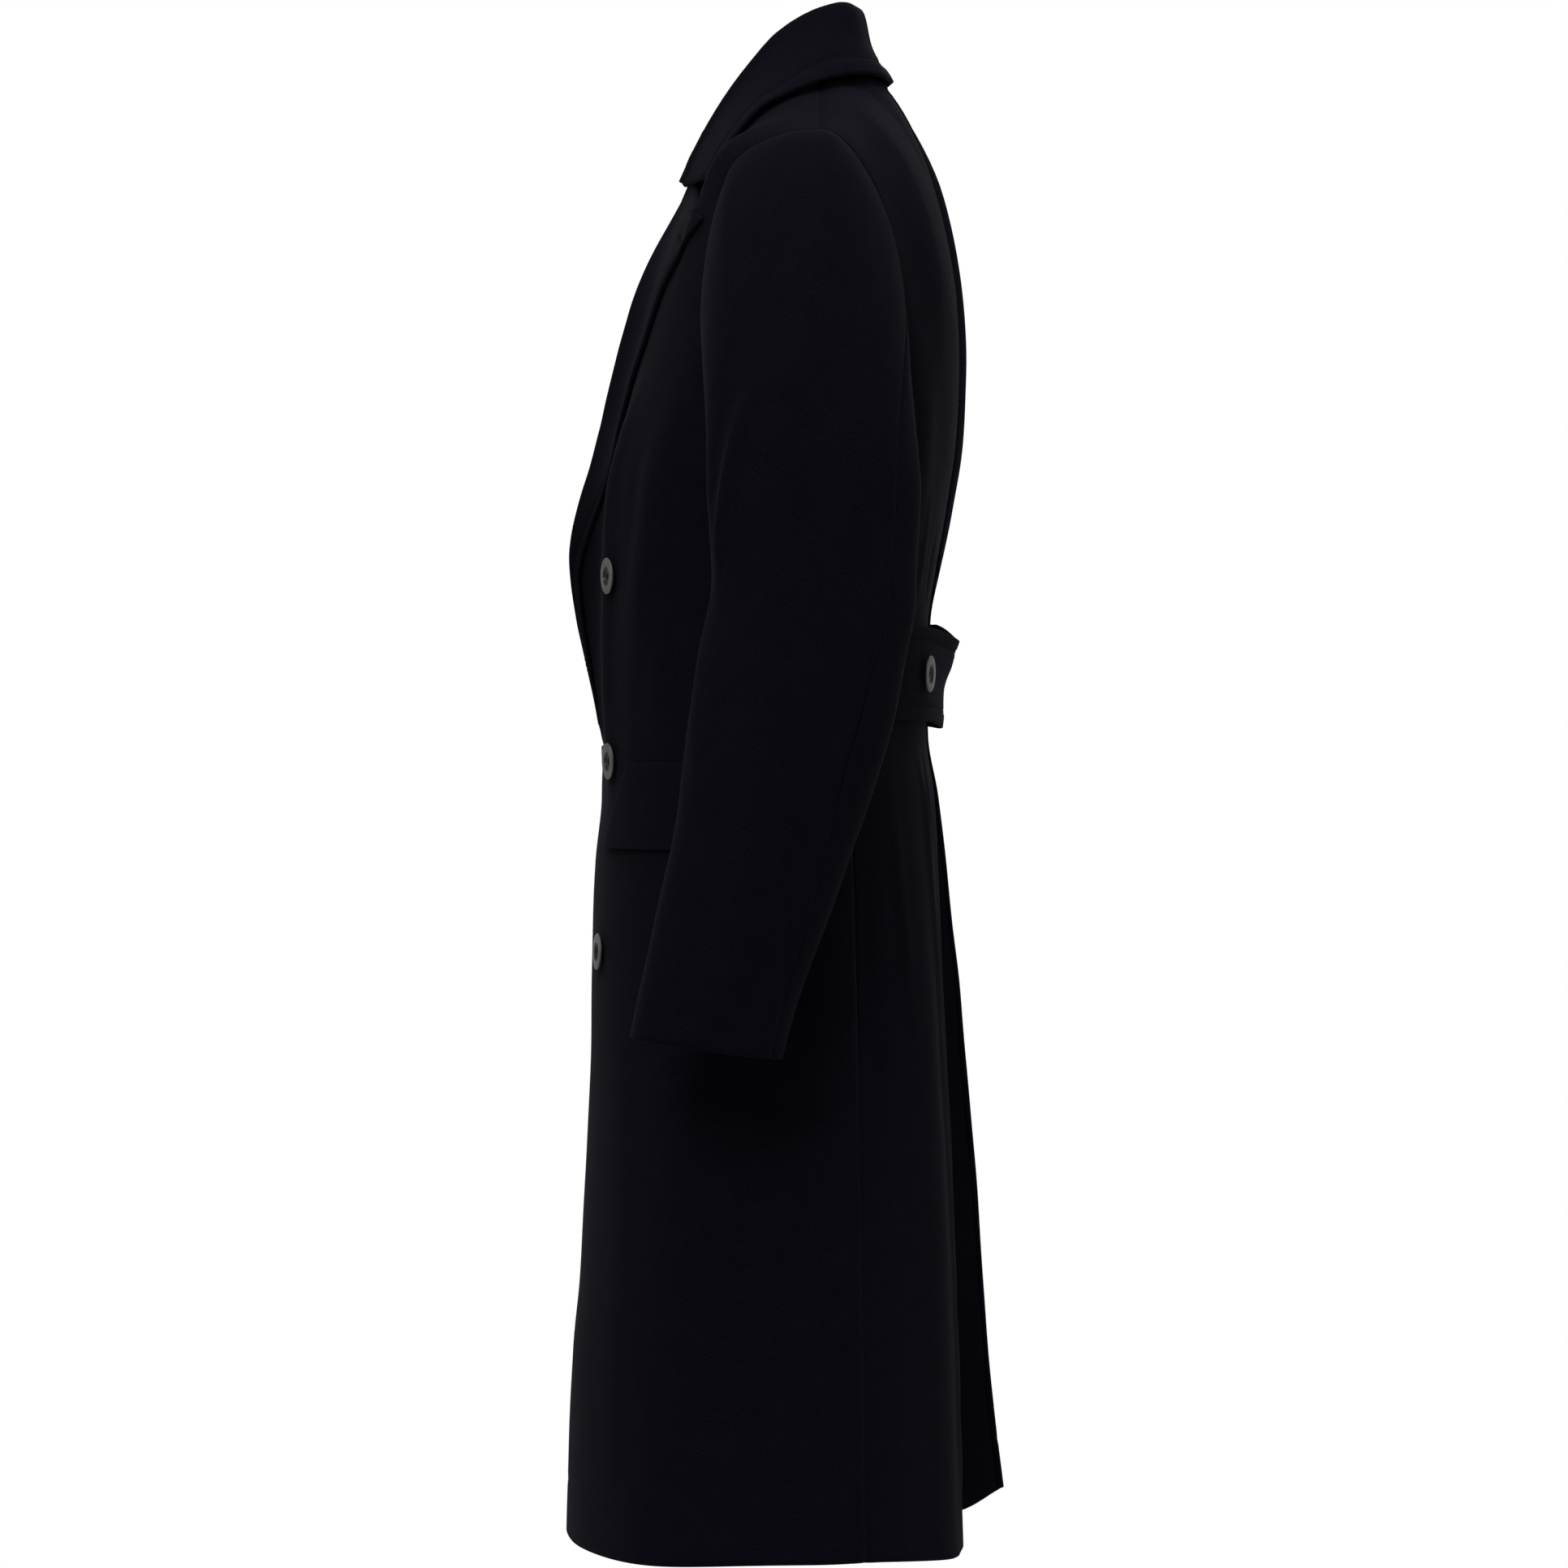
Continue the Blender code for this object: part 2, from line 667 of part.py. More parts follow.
def sleeve_piece(side, ends, name, finish, seams):
    """One piece of a sleeve, between two steps of the armhole and the two sleeve seams."""
    loop = armhole_loop(side)
    first, last = ends
    steps = np.arange(first, last + 1)
    start = loop[steps % len(loop)]
    share = (steps - first) / (last - first)
    centre = loop.mean(axis=0)
    rows = []
    outward = np.array([side, 0, -CAP_DROP])
    leave = CAP_PULL * unit(outward + CAP_FLARE * unit(start - centre))
    join = sleeve_point(side, ring_degrees(SLEEVE_JOIN_Z, share, seams), SLEEVE_JOIN_Z)
    length = np.linalg.norm(join - start, axis=1, keepdims=True)
    arrive = np.array([0, 0, -1.0])
    for row in range(CAP_ROWS):
        t = row / CAP_ROWS
        blend = (
            (1 + 2 * t) * (1 - t) ** 2 * start
            + t * (1 - t) ** 2 * length * leave
            + t * t * (3 - 2 * t) * join
            + t * t * (t - 1) * length * arrive
        )
        rows.append(blend)
    cuff = SLEEVE[-1][0]
    for row in range(ARM_ROWS + 1):
        z = SLEEVE_JOIN_Z + (cuff - SLEEVE_JOIN_Z) * row / ARM_ROWS
        rows.append(sleeve_point(side, ring_degrees(z, share, seams), z))
    return cloth(name, parted_sides(np.array(rows)), CLOTH, finish, side == RIGHT)


def ring_degrees(z, share, seams):
    """Degrees of a sleeve piece's points at a height, spread between its two seams."""
    start = SLEEVE_SEAM.at(seams[0], z)
    end = SLEEVE_SEAM.at(seams[1], z)
    end = end + FULL_TURN * (end < start)
    return start + (end - start) * share


def parted_sides(grid):
    """A grid whose two side edges are drawn in by the seam's gap."""
    grid = grid.copy()
    for edge, inner in ((0, 1), (-1, -2)):
        way = grid[:, inner] - grid[:, edge]
        grid[:, edge] = grid[:, edge] + SLEEVE_GAP * unit(way)
    return grid


def neck_seam(station):
    """The neckline of a body half at a collar station, from the back centre to the front of the collar."""
    if station < COLLAR_NAPE_SHARE:
        x = NECK_X * math.sin(math.pi / 2 * station / COLLAR_NAPE_SHARE)
        level = -NAPE_DROP * (1 - (x / NECK_X) ** 2)
        return body_point(LEFT, math.pi - angle_at(x, level), level)
    share = (station - COLLAR_NAPE_SHARE) / (1 - COLLAR_NAPE_SHARE)
    level = ROLL_TOP_LEVEL * share
    return front_point(LEFT, angle_at(roll_x(level), level), level)


def collar_section(station):
    """The collar's section at a station: up the stand, over the fold and down the fall."""
    seam = neck_seam(station)
    towards = np.array([0, NECK_AXIS_Y, 0]) - seam
    towards[2] = 0
    step_in = COLLAR_STEP_IN + COLLAR_END_STEP_IN * eased(station)
    base = seam + step_in * unit(towards)
    base[2] = seam[2] + COLLAR_SEAM_RISE
    crest = np.array([COLLAR_LINE.at("crest_" + axis, station) for axis in "xyz"])
    edge = np.array([COLLAR_LINE.at("edge_" + axis, station) for axis in "xyz"])
    out = edge - crest
    down = np.array([0, 0, -1.0])
    out = out - down * np.dot(out, down)
    out = unit(out)
    inner = crest - COLLAR_FOLD * out + COLLAR_FOLD * (1 - station * station) * down
    outer = crest + COLLAR_FOLD * out + COLLAR_FALL_START * COLLAR_FOLD * down
    belly = (outer + edge) / 2 + COLLAR_LINE.at("bulge", station) * out
    knots = np.array([base, (base + inner) / 2, inner, crest, outer, belly, edge])
    spans = np.linalg.norm(np.diff(knots, axis=0), axis=1)
    places = np.concatenate([[0], np.cumsum(spans)])
    line = Track(("place", "x", "y", "z"), np.column_stack([places, knots]).tolist())
    along = np.linspace(0, places[-1], COLLAR_STEPS + 1)
    return np.column_stack([line.at(axis, along) for axis in "xyz"])


def collar(name, finish):
    """The collar, one folded wall from one front end round the back of the neck to the other."""
    stations = np.linspace(0, 1, COLLAR_STATIONS // 2 + 1)
    half = np.array([collar_section(station) for station in stations])
    mirrored = half[:0:-1] * np.array([-1, 1, 1])
    return cloth(name, np.concatenate([mirrored, half]), DOUBLE_CLOTH, finish, True)


def pocket_flap(side, name, finish):
    """One pocket flap, lying on its front, with its front edge slanted."""
    rows = []
    for drop in np.linspace(0, 1, FLAP_ROWS + 1):
        level = FLAP_TOP - FLAP_DROP * drop
        start = angle_at(FLAP_FRONT_X - FLAP_SLANT * drop, level)
        angle = np.linspace(start, FLAP_BACK_ANGLE, FLAP_COLUMNS + 1)
        levels = np.full(angle.shape, level)
        distance = np.full(angle.shape, FLAP_GAP + DOUBLE_CLOTH)
        rows.append(moved_out(front_point, side, angle, levels, distance))
    return cloth(name, np.array(rows), DOUBLE_CLOTH, finish, side == LEFT)


def belt_point(x, level):
    """A point on the half belt's outer face: it lies on the side of the back and stands off at its centre."""
    side = LEFT if x >= 0 else RIGHT
    angle = math.pi - angle_at(abs(x), level)
    share = (level - BELT_BOTTOM) / (BELT_TOP - BELT_BOTTOM)
    stand = BELT_STAND_BOTTOM + (BELT_STAND_TOP - BELT_STAND_BOTTOM) * share
    near_end = eased((BELT_HALF_LENGTH - abs(x)) / (BELT_HALF_LENGTH - BELT_BUTTON_X))
    ease = BELT_EASE * near_end + stand * math.exp(-((x / BELT_STAND_REACH) ** 2))
    return moved_out(body_point, side, angle, level, np.array(BELT_GAP + DOUBLE_CLOTH + ease))


def half_belt(name, finish):
    """The half belt across the back waist, set into the side seams."""
    rows = []
    for level in np.linspace(BELT_TOP, BELT_BOTTOM, BELT_ROWS + 1):
        places = np.linspace(-BELT_HALF_LENGTH, BELT_HALF_LENGTH, BELT_COLUMNS + 1)
        rows.append([belt_point(x, level) for x in places])
    return cloth(name, np.array(rows), DOUBLE_CLOTH, finish, False)


def button(name, seat, normal, finish):
    """One round button, turned, with a raised rim and a dished middle, set at a point."""
    mesh = bpy.data.meshes.new(name)
    points = [(share * BUTTON_RADIUS * MM, 0, height * MM) for share, height in BUTTON_PROFILE]
    edges = [(index, index + 1) for index in range(len(points) - 1)]
    mesh.from_pydata(points, edges, [])
    mesh.materials.append(finish)
    piece = bpy.data.objects.new(name, mesh)
    turned = piece.modifiers.new("turned", "SCREW")
    turned.axis = "Z"
    turned.steps = BUTTON_STEPS
    turned.render_steps = BUTTON_STEPS
    turned.use_merge_vertices = True
    turned.merge_threshold = MERGE_DISTANCE
    piece.rotation_mode = "QUATERNION"
    piece.rotation_quaternion = Vector(normal).to_track_quat("Z", "Y")
    piece.location = Vector(seat * MM)
    return piece


def front_buttons(finish):
    """The two columns of buttons: all but the top right one sit on the left front."""
    pieces = []
    for row in BUTTONS:
        place = dict(zip(BUTTON_COLUMNS, row))
        carrier = place["carrier"]
        level = np.array(float(place["level"]))
        angle = angle_at(place["side"] * carrier * place["x"], level)
        seat = front_point(carrier, angle, level)
        normal = moved_out(front_point, carrier, angle, level, np.array(1.0)) - seat
        pieces.append(button(place["name"], seat + place["seat"] * normal, normal, finish))
    return pieces


def belt_buttons(finish):
    """The two buttons on the half belt."""
    pieces = []
    level = (BELT_TOP + BELT_BOTTOM) / 2
    step = 1.0
    for side, word in SIDE_WORDS.items():
        x = side * BELT_BUTTON_X
        seat = belt_point(x, level)
        along = belt_point(x + step, level) - belt_point(x - step, level)
        up = belt_point(x, level + step) - belt_point(x, level - step)
        normal = unit(np.cross(up, along))
        pieces.append(button(f"belt_button_{word}", seat + BELT_BUTTON_SEAT * normal, normal, finish))
    return pieces


def material(name, colour, roughness):
    """A plain Principled material."""
    finish = bpy.data.materials.new(name)
    finish.use_nodes = True
    shader = finish.node_tree.nodes["Principled BSDF"]
    shader.inputs["Base Color"].default_value = (*colour, 1)
    shader.inputs["Roughness"].default_value = roughness
    shader.inputs["Metallic"].default_value = 0
    return finish


def main():
    """Builds every piece of the coat into its own collection."""
    for thing in list(bpy.data.objects):
        bpy.data.objects.remove(thing)
    wool = material("navy_wool", *WOOL)
    horn = material("dark_horn", *HORN)
    pieces = []
    around = 2 * ARMHOLE_STEPS
    for side, word in SIDE_WORDS.items():
        pieces.append(front(side, f"{word}_front", wool))
        pieces.append(back(side, f"{word}_back", wool))
        pieces.append(lapel(side, f"{word}_lapel", wool))
        pieces.append(pocket_flap(side, f"{word}_pocket_flap", wool))
        top = (-BACK_SEAM_STEP, FRONT_SEAM_STEP)
        under = (FRONT_SEAM_STEP, around - BACK_SEAM_STEP)
        pieces.append(sleeve_piece(side, top, f"{word}_top_sleeve", wool, ("back", "front")))
        pieces.append(sleeve_piece(side, under, f"{word}_under_sleeve", wool, ("front", "back")))
    pieces.append(pleat("back_pleat", wool))
    pieces.append(collar("collar", wool))
    pieces.append(half_belt("half_belt", wool))
    pieces.extend(front_buttons(horn))
    pieces.extend(belt_buttons(horn))
    coat = bpy.data.collections.new(COAT)
    bpy.context.scene.collection.children.link(coat)
    for piece in pieces:
        coat.objects.link(piece)


main()
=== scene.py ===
"""The looks of a long double-breasted wool overcoat, filled out as worn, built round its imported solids.

Every cut-and-sewn piece is a thin shell of cloth on its solid's own form, with softer folds, pressed seams
and rows of stitches added. Sizes are in millimetres until a mesh is made. +X is the wearer's left, -Y the
front and +Z up. A level is a height measured down from the shoulder seam, and an angle runs round the body
from the front centre to the back centre.
"""

import logging
import math
from dataclasses import dataclass, field
from enum import Enum
from typing import Callable, Iterable, Sequence

import bpy
import numpy as np
from mathutils import Matrix, Vector


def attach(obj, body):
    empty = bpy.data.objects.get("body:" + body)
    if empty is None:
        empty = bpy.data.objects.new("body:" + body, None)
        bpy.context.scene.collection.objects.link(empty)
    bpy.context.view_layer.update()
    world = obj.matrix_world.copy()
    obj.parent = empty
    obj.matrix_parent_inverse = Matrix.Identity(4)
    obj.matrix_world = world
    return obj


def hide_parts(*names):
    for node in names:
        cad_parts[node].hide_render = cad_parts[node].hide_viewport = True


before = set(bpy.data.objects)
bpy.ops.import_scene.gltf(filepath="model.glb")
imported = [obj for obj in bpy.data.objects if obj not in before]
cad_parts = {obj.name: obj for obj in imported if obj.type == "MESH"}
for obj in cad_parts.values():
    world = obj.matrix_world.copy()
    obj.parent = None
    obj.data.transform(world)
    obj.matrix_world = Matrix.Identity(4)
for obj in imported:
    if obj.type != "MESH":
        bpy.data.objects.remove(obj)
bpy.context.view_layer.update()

MM = 0.001
BODY = "root"
LOG = logging.getLogger("overcoat")
Array = np.ndarray
Rows = tuple[tuple[float, ...], ...]
Pair = tuple[float, float]
Triple = tuple[float, float, float]
Faces = list[tuple[int, ...]]
Piece = bpy.types.Object
Material = bpy.types.Material
# A stitch's two ends, the cloth's normal there and how far the thread arches up
Stitch = tuple[tuple[Array, Array], Array, float]
# The least length that is divided by
TINY = 1e-6
# A Mix node has sockets for every kind of value, and these are the ones for colours
MIX_FIRST, MIX_SECOND, MIX_COLOUR = 6, 7, 2


class Side(Enum):
    """Which half of the coat a piece belongs to, as the wearer has it."""

    LEFT = 1
    RIGHT = -1

    @property
    def word(self) -> str:
        """The side's name as the piece names spell it."""
        return self.name.lower()


class Edge(Enum):
    """One of the four edges of a sheet's grid."""

    FIRST_ROW = "first row"
    LAST_ROW = "last row"
    FIRST_COLUMN = "first column"
    LAST_COLUMN = "last column"


class Held(Enum):
    """How a sheet of cloth is carried."""

    HUNG = "hung"
    LAID = "laid"
    FOLDED = "folded"


def unit(vectors: Array) -> Array:
    """Vectors made one long, with a vanishing one left as it is."""
    length = np.linalg.norm(vectors, axis=-1, keepdims=True)
    return vectors / np.where(length > 0, length, 1)


def eased(share: Array | float) -> Array:
    """A smooth step from 0 to 1."""
    share = np.clip(share, 0, 1)
    return share * share * (3 - 2 * share)


class Track:
    """A smooth curve through one or more columns of a table, against its first column."""

    def __init__(self, names: Sequence[str], rows: Iterable[Sequence[float]]) -> None:
        """Sorts the rows and works out each column's slopes.

        Args:
            names: The columns' names, the first being the place along the curve.
            rows: The table's rows.
        """
        table = np.array(sorted(rows), float)
        self.places = table[:, 0]
        self.columns = {}
        for index, name in enumerate(names[1:], start=1):
            values = table[:, index]
            self.columns[name] = (values, self.slopes(values))

    def slopes(self, values: Array) -> Array:
        """Slopes at the rows that never carry the curve past a row's own value.

        Args:
            values: A column of the table.

        Returns:
            The slope at each row.
        """
        rise = np.diff(values) / np.diff(self.places)
        before = np.concatenate([rise[:1], rise])
        after = np.concatenate([rise, rise[-1:]])
        total = np.where(before * after > 0, before + after, 1)
        return np.where(before * after > 0, 2 * before * after / total, 0)

    def at(self, name: str, place: Array | float) -> Array:
        """The value of a column, by cubic steps between the rows.

        Args:
            name: The column.
            place: Where along the curve, as one value or many.

        Returns:
            The values there.
        """
        values, slopes = self.columns[name]
        place = np.clip(place, self.places[0], self.places[-1])
        low = np.clip(np.searchsorted(self.places, place) - 1, 0, len(self.places) - 2)
        step = self.places[low + 1] - self.places[low]
        t = (place - self.places[low]) / step
        rise = values[low + 1] - values[low]
        start = step * slopes[low] - rise
        end = rise - step * slopes[low + 1]
        return values[low] + t * rise + t * (1 - t) * ((1 - t) * start + t * end)


@dataclass(frozen=True)
class Fold:
    """A long soft fold of a form, between two places given in degrees round it and millimetres down it."""

    top_degrees: float
    bottom_degrees: float
    top: float
    bottom: float
    height: float
    spread: float

    def middle(self, share: Array) -> Array:
        """The fold's crest in degrees, at a share of its length."""
        return self.top_degrees + share * (self.bottom_degrees - self.top_degrees)


@dataclass(frozen=True)
class Crease:
    """A small crease: a soft ridge, or a trough where its height is below 0, along a bowed line.

    Its ends are in degrees round the form and millimetres down it. Steep makes the side of larger degrees
    narrower, and fade is the share of the length over which the crease rises and dies away.
    """

    start: Pair
    end: Pair
    height: float
    width: float
    bow: float = 0.0
    steep: float = 1.0
    fade: float = 0.45

    def rise(self, degrees: Array, down: Array, degree_size: float) -> Array:
        """How far the crease lifts the cloth.

        Args:
            degrees: Places round the form.
            down: Places down the form, in millimetres.
            degree_size: Millimetres round the form for each degree.

        Returns:
            The lift at each place, in millimetres.
        """
        start = np.array([self.start[0] * degree_size, self.start[1]])
        end = np.array([self.end[0] * degree_size, self.end[1]])
        length = np.linalg.norm(end - start)
        along = (end - start) / length
        across = np.array([along[1], -along[0]])
        x = degrees * degree_size - start[0]
        y = down - start[1]
        share = (x * along[0] + y * along[1]) / length
        inside = np.clip(share, 0, 1)
        off = x * across[0] + y * across[1] - self.bow * 4 * inside * (1 - inside)
        off = off * np.sign(across[0] or 1.0) / self.width
        off = np.where(off > 0, off * self.steep, off)
        reach = eased(inside / self.fade) * eased((1 - inside) / self.fade)
        return self.height * np.exp(-off * off) * reach


Surface = Callable[[Side, Array, Array], Array]


@dataclass
class BodyForm:
    """The body of the coat as a smooth form: its sections, shoulders, armholes, folds, laps and hem."""

    shoulder_x: float = 232.0
    neck_x: float = 75.0
    neck_rise: float = 57.0
    nape_rise: float = 26.0
    rise_fade: float = 200.0
    front_arch: float = 130.0
    front_side_arch: float = 32.0
    back_arch: float = 160.0
    back_side_arch: float = 275.0
    arch_turn_x: float = 140.0
    arch_power: float = 0.41
    armpit: float = -218.0
    armhole_x: float = 204.0
    armhole_spring: float = 115.0
    armhole_bowl: float = 110.0
    power: float = 2.4
    wrap_x: float = 98.0
    break_level: float = -432.0
    roll_top_level: float = -52.0
    roll_top_x: float = 72.0
    roll_reach: float = 42.0
    roll_expose: float = 90.0
    nape_drop: float = 10.0
    nape_dip: float = 0.5
    tuck_run: float = 26.0
    kick_reach: float = 48.0
    kick_seam: float = 7.0
    kick_start: float = -440.0
    kick_blend: float = 50.0
    fold_fade: float = 0.4
    hem_start: float = -1040.0
    degree_size: float = 3.9
    normal_turn: float = 0.002
    normal_drop: float = 0.5
    sections: Rows = (
        (0, 248, -106, 0, 108),
        (-60, 255, -112, -2, 109),
        (-100, 247, -122, -4, 109),
        (-140, 240, -132, -7, 108),
        (-180, 236, -145, -10, 107),
        (-213, 235, -156, -12, 105),
        (-262, 232, -166, -14, 98),
        (-310, 228, -168, -17, 90),
        (-350, 225, -168, -19, 84),
        (-434, 225, -166, -22, 82),
        (-482, 230, -165, -22, 88),
        (-531, 236, -169.5, -22, 91),
        (-604, 243, -172, -21, 94.5),
        (-680, 248, -173.5, -19, 98),
        (-780, 256, -178, -16, 103),
        (-850, 261, -182, -14.3, 105.2),
        (-905, 265, -187, -13, 107),
        (-1055, 273, -192, -12, 111),
    )
    side_seam: Rows = ((-218, 12), (-400, 20), (-610, 27), (-1055, 33))
    roll: Rows = (
        (-475, 0), (-455, 6), (-436, 11.5), (-423, 13), (-407, 13),
        (-376, 14), (-345, 17.8), (-314, 20.8), (-298, 21.4), (-283, 20.2),
        (-252, 15), (-230, 12.4), (-205, 11.8), (-180, 13.6), (-150, 14.2),
        (-127, 12.2), (-96, 7), (-65, 1.8), (-49, 0.2), (0, 0),
    )
    tuck: Rows = ((-1055, 4.6), (-480, 4.8), (-436, 9.8), (0, 9.8))
    kick: Rows = (
        (-8, 0), (-30, 4.8), (-60, 9), (-100, 8.6), (-160, 7.8),
        (-258, 6.2), (-348, 2.8), (-434, 2), (-482, 4), (-531, 7),
        (-581, 10), (-631, 13.5), (-681, 15), (-780, 19), (-830, 21),
        (-905, 24), (-954, 27), (-1004, 32), (-1055, 37),
    )
    hem: Rows = (
        (-30, -1040, -1038),
        (40, -1038, -1036),
        (100, -1030, -1030),
        (150, -1042, -1026),
        (180, -1051, -1012),
    )
    left_folds: tuple[Fold, ...] = (
        Fold(57, 41, -120, -430, 6, 9),
        Fold(124, 140, -60, -340, 6, 9),
        Fold(142, 146, -440, -1060, 7, 11),
        Fold(66, 60, -560, -1060, 6, 13),
        Fold(96, 98, -640, -1060, 5, 11),
    )
    right_folds: tuple[Fold, ...] = (
        Fold(56, 40, -130, -420, 5, 9),
        Fold(126, 138, -70, -330, 6, 9),
        Fold(138, 142, -440, -1060, 6, 12),
        Fold(62, 57, -580, -1060, 6, 13),
        Fold(98, 94, -660, -1060, 5, 11),
    )
    left_creases: tuple[Crease, ...] = (
        Crease((56, -330), (51, -455), 2.0, 13, bow=5),
        Crease((41, -190), (37, -350), -1.6, 15, bow=-6),
        Crease((116, -90), (127, -300), -2.0, 9, bow=5),
        Crease((93, -226), (84, -345), 2.2, 10, bow=-6),
        Crease((99, -230), (98, -350), -2.0, 9, bow=4),
        Crease((118, -392), (99, -428), 1.6, 8, bow=3),
        Crease((117, -376), (97, -366), -1.5, 8),
        Crease((113, -470), (119, -780), -2.2, 18, bow=8),
        Crease((127, -440), (134, -690), 2.0, 11, bow=-5),
        Crease((84, -560), (85, -1010), -4.2, 22, bow=6, steep=1.7, fade=0.35),
        Crease((37, -610), (40, -1030), 1.1, 24, bow=-8, fade=0.3),
        Crease((26, -150), (23, -500), 5.2, 19, bow=4, fade=0.3),
        Crease((12, -150), (6, -480), -8.0, 36, fade=0.35),
        Crease((153, -434), (162, -1045), 3.2, 9, bow=3, steep=1.5, fade=0.12),
        Crease((168, -434), (170, -1045), -2.2, 11, fade=0.12),
        Crease((159, -434), (161, -545), -2.0, 6),
        Crease((150, -352), (146, -245), 1.8, 8, bow=-4),
        Crease((160, -352), (158, -268), -1.6, 7),
    )
    right_creases: tuple[Crease, ...] = (
        Crease((55, -335), (50, -450), 1.9, 12, bow=4),
        Crease((40, -200), (36, -345), -1.5, 14, bow=-5),
        Crease((117, -95), (129, -295), -2.1, 9, bow=6),
        Crease((92, -226), (85, -335), 2.0, 11, bow=-5),
        Crease((99, -232), (97, -345), -1.9, 8, bow=3),
        Crease((119, -396), (101, -424), 1.5, 8, bow=2),
        Crease((116, -374), (98, -368), -1.4, 7),
        Crease((112, -475), (117, -760), -2.0, 17, bow=9),
        Crease((126, -440), (131, -670), 2.1, 12, bow=-4),
        Crease((82, -610), (79, -1000), -2.8, 23, bow=9),
        Crease((38, -620), (39, -1030), 1.2, 23, bow=-7, fade=0.3),
        Crease((26, -150), (23, -490), 5.0, 20, bow=4, fade=0.3),
        Crease((-12, -150), (-6, -480), -8.0, 36, fade=0.35),
        Crease((12, -150), (8, -480), -5.0, 36, fade=0.35),
        Crease((150, -434), (151, -560), 2.0, 7, bow=4, steep=1.5),
        Crease((158, -434), (159, -540), -1.8, 6),
        Crease((151, -352), (148, -255), 1.7, 8, bow=-3),
        Crease((161, -352), (158, -275), -1.5, 7),
    )

    def __post_init__(self) -> None:
        """Makes the smooth curves from the tables."""
        self.section = Track(("level", "half_width", "front", "side", "back"), self.sections)
        self.seam = Track(("level", "seam"), self.side_seam)
        self.roll_lift = Track(("level", "lift"), self.roll)
        self.tuck_depth = Track(("level", "tuck"), self.tuck)
        self.kick_out = Track(("level", "kick"), self.kick)
        self.hem_level = Track(("degrees", Side.LEFT.word, Side.RIGHT.word), self.hem)
        self.folds = {Side.LEFT: self.left_folds, Side.RIGHT: self.right_folds}
        self.creases = {Side.LEFT: self.left_creases, Side.RIGHT: self.right_creases}

    def arch(self, drop: Array, height: Array) -> Array:
        """How far the cloth has rounded over from the shoulder seam, from 0 at the seam to 1."""
        left = 1 - np.clip(drop / height, 0, 1)
        return np.clip(1 - left * left, 0, 1) ** self.arch_power

    def shoulder_rise(self, x: Array, level: Array) -> Array:
        """How far the slope of the shoulder lifts points.

        Args:
            x: Distances across from the middle.
            level: Levels down the body.

        Returns:
            The lift at each place.
        """
        run = self.shoulder_x - np.maximum(np.abs(x), self.neck_x)
        slope = self.neck_rise * run / (self.shoulder_x - self.neck_x)
        nape = self.nape_rise * np.clip(1 - (x / self.neck_x) ** 2, 0, 1)
        return (slope + nape) * np.clip(1 + level / self.rise_fade, 0, 1) ** 2

    def angle_at(self, x: Array, level: Array) -> Array:
        """The angle on the front half of the section where the cloth stands at this distance across."""
        share = np.clip(np.abs(x) / self.section.at("half_width", level), 0, 1)
        return np.sign(x) * np.arcsin(share ** (self.power / 2))

    def lift(self, side: Side, angle: Array, level: Array) -> Array:
        """The height of the body's folds and creases.

        Args:
            side: The half of the coat.
            angle: Angles round the body.
            level: Levels down it.

        Returns:
            How far the cloth stands off the smooth form, in millimetres.
        """
        degrees = np.degrees(angle)
        total = np.zeros(np.broadcast(angle, level).shape)
        for fold in self.folds[side]:
            share = np.clip((fold.top - level) / (fold.top - fold.bottom), 0, 1)
            off = (degrees - fold.middle(share)) / fold.spread
            reach = eased(share / self.fold_fade)
            if fold.bottom > self.hem_start:
                reach = reach * eased((1 - share) / self.fold_fade)
            total = total + fold.height * np.exp(-off * off) * reach
        for crease in self.creases[side]:
            total = total + crease.rise(degrees, level, self.degree_size)
        return total

    def point(self, side: Side, angle: Array, level: Array) -> Array:
        """Points on the coat's outer face.

        Args:
            side: The half of the coat.
            angle: Angles round the body.
            level: Levels down it.

        Returns:
            Their places, with x towards the wearer's left.
        """
        power = 2 / self.power
        across = np.sign(np.sin(angle)) * np.abs(np.sin(angle)) ** power
        along = np.abs(np.cos(angle)) ** power
        middle = self.section.at("side", level)
        x = self.section.at("half_width", level) * across
        aside = eased((np.abs(x) - self.arch_turn_x) / (self.armhole_x - self.arch_turn_x))
        front_arch = self.front_arch + (self.front_side_arch - self.front_arch) * aside
        back_arch = self.back_arch + (self.back_side_arch - self.back_arch) * aside
        front = (self.section.at("front", level) - middle) * along * self.arch(-level, front_arch)
        back = (self.section.at("back", level) - middle) * along * self.arch(-level, back_arch)
        z = level + self.shoulder_rise(x, level)
        y = middle + np.where(np.cos(angle) >= 0, front, back)
        lift = self.lift(side, angle, level)
        x = x + lift * np.sin(angle)
        y = y - lift * np.cos(angle)
        return np.stack(np.broadcast_arrays(side.value * x, y, z), axis=-1)

    def roll_x(self, level: Array) -> Array:
        """Where a front's turned edge runs across the chest, measured towards its own side.

        Args:
            level: Levels down the body.

        Returns:
            Distances from the middle.
        """
        share = (level - self.break_level) / (self.roll_top_level - self.break_level)
        rolled = -self.wrap_x + (self.roll_top_x + self.wrap_x) * np.clip(share, 0, 1)
        neck = np.clip((level - self.roll_top_level) / -self.roll_top_level, 0, 1)
        return rolled + (self.neck_x - self.roll_top_x) * neck

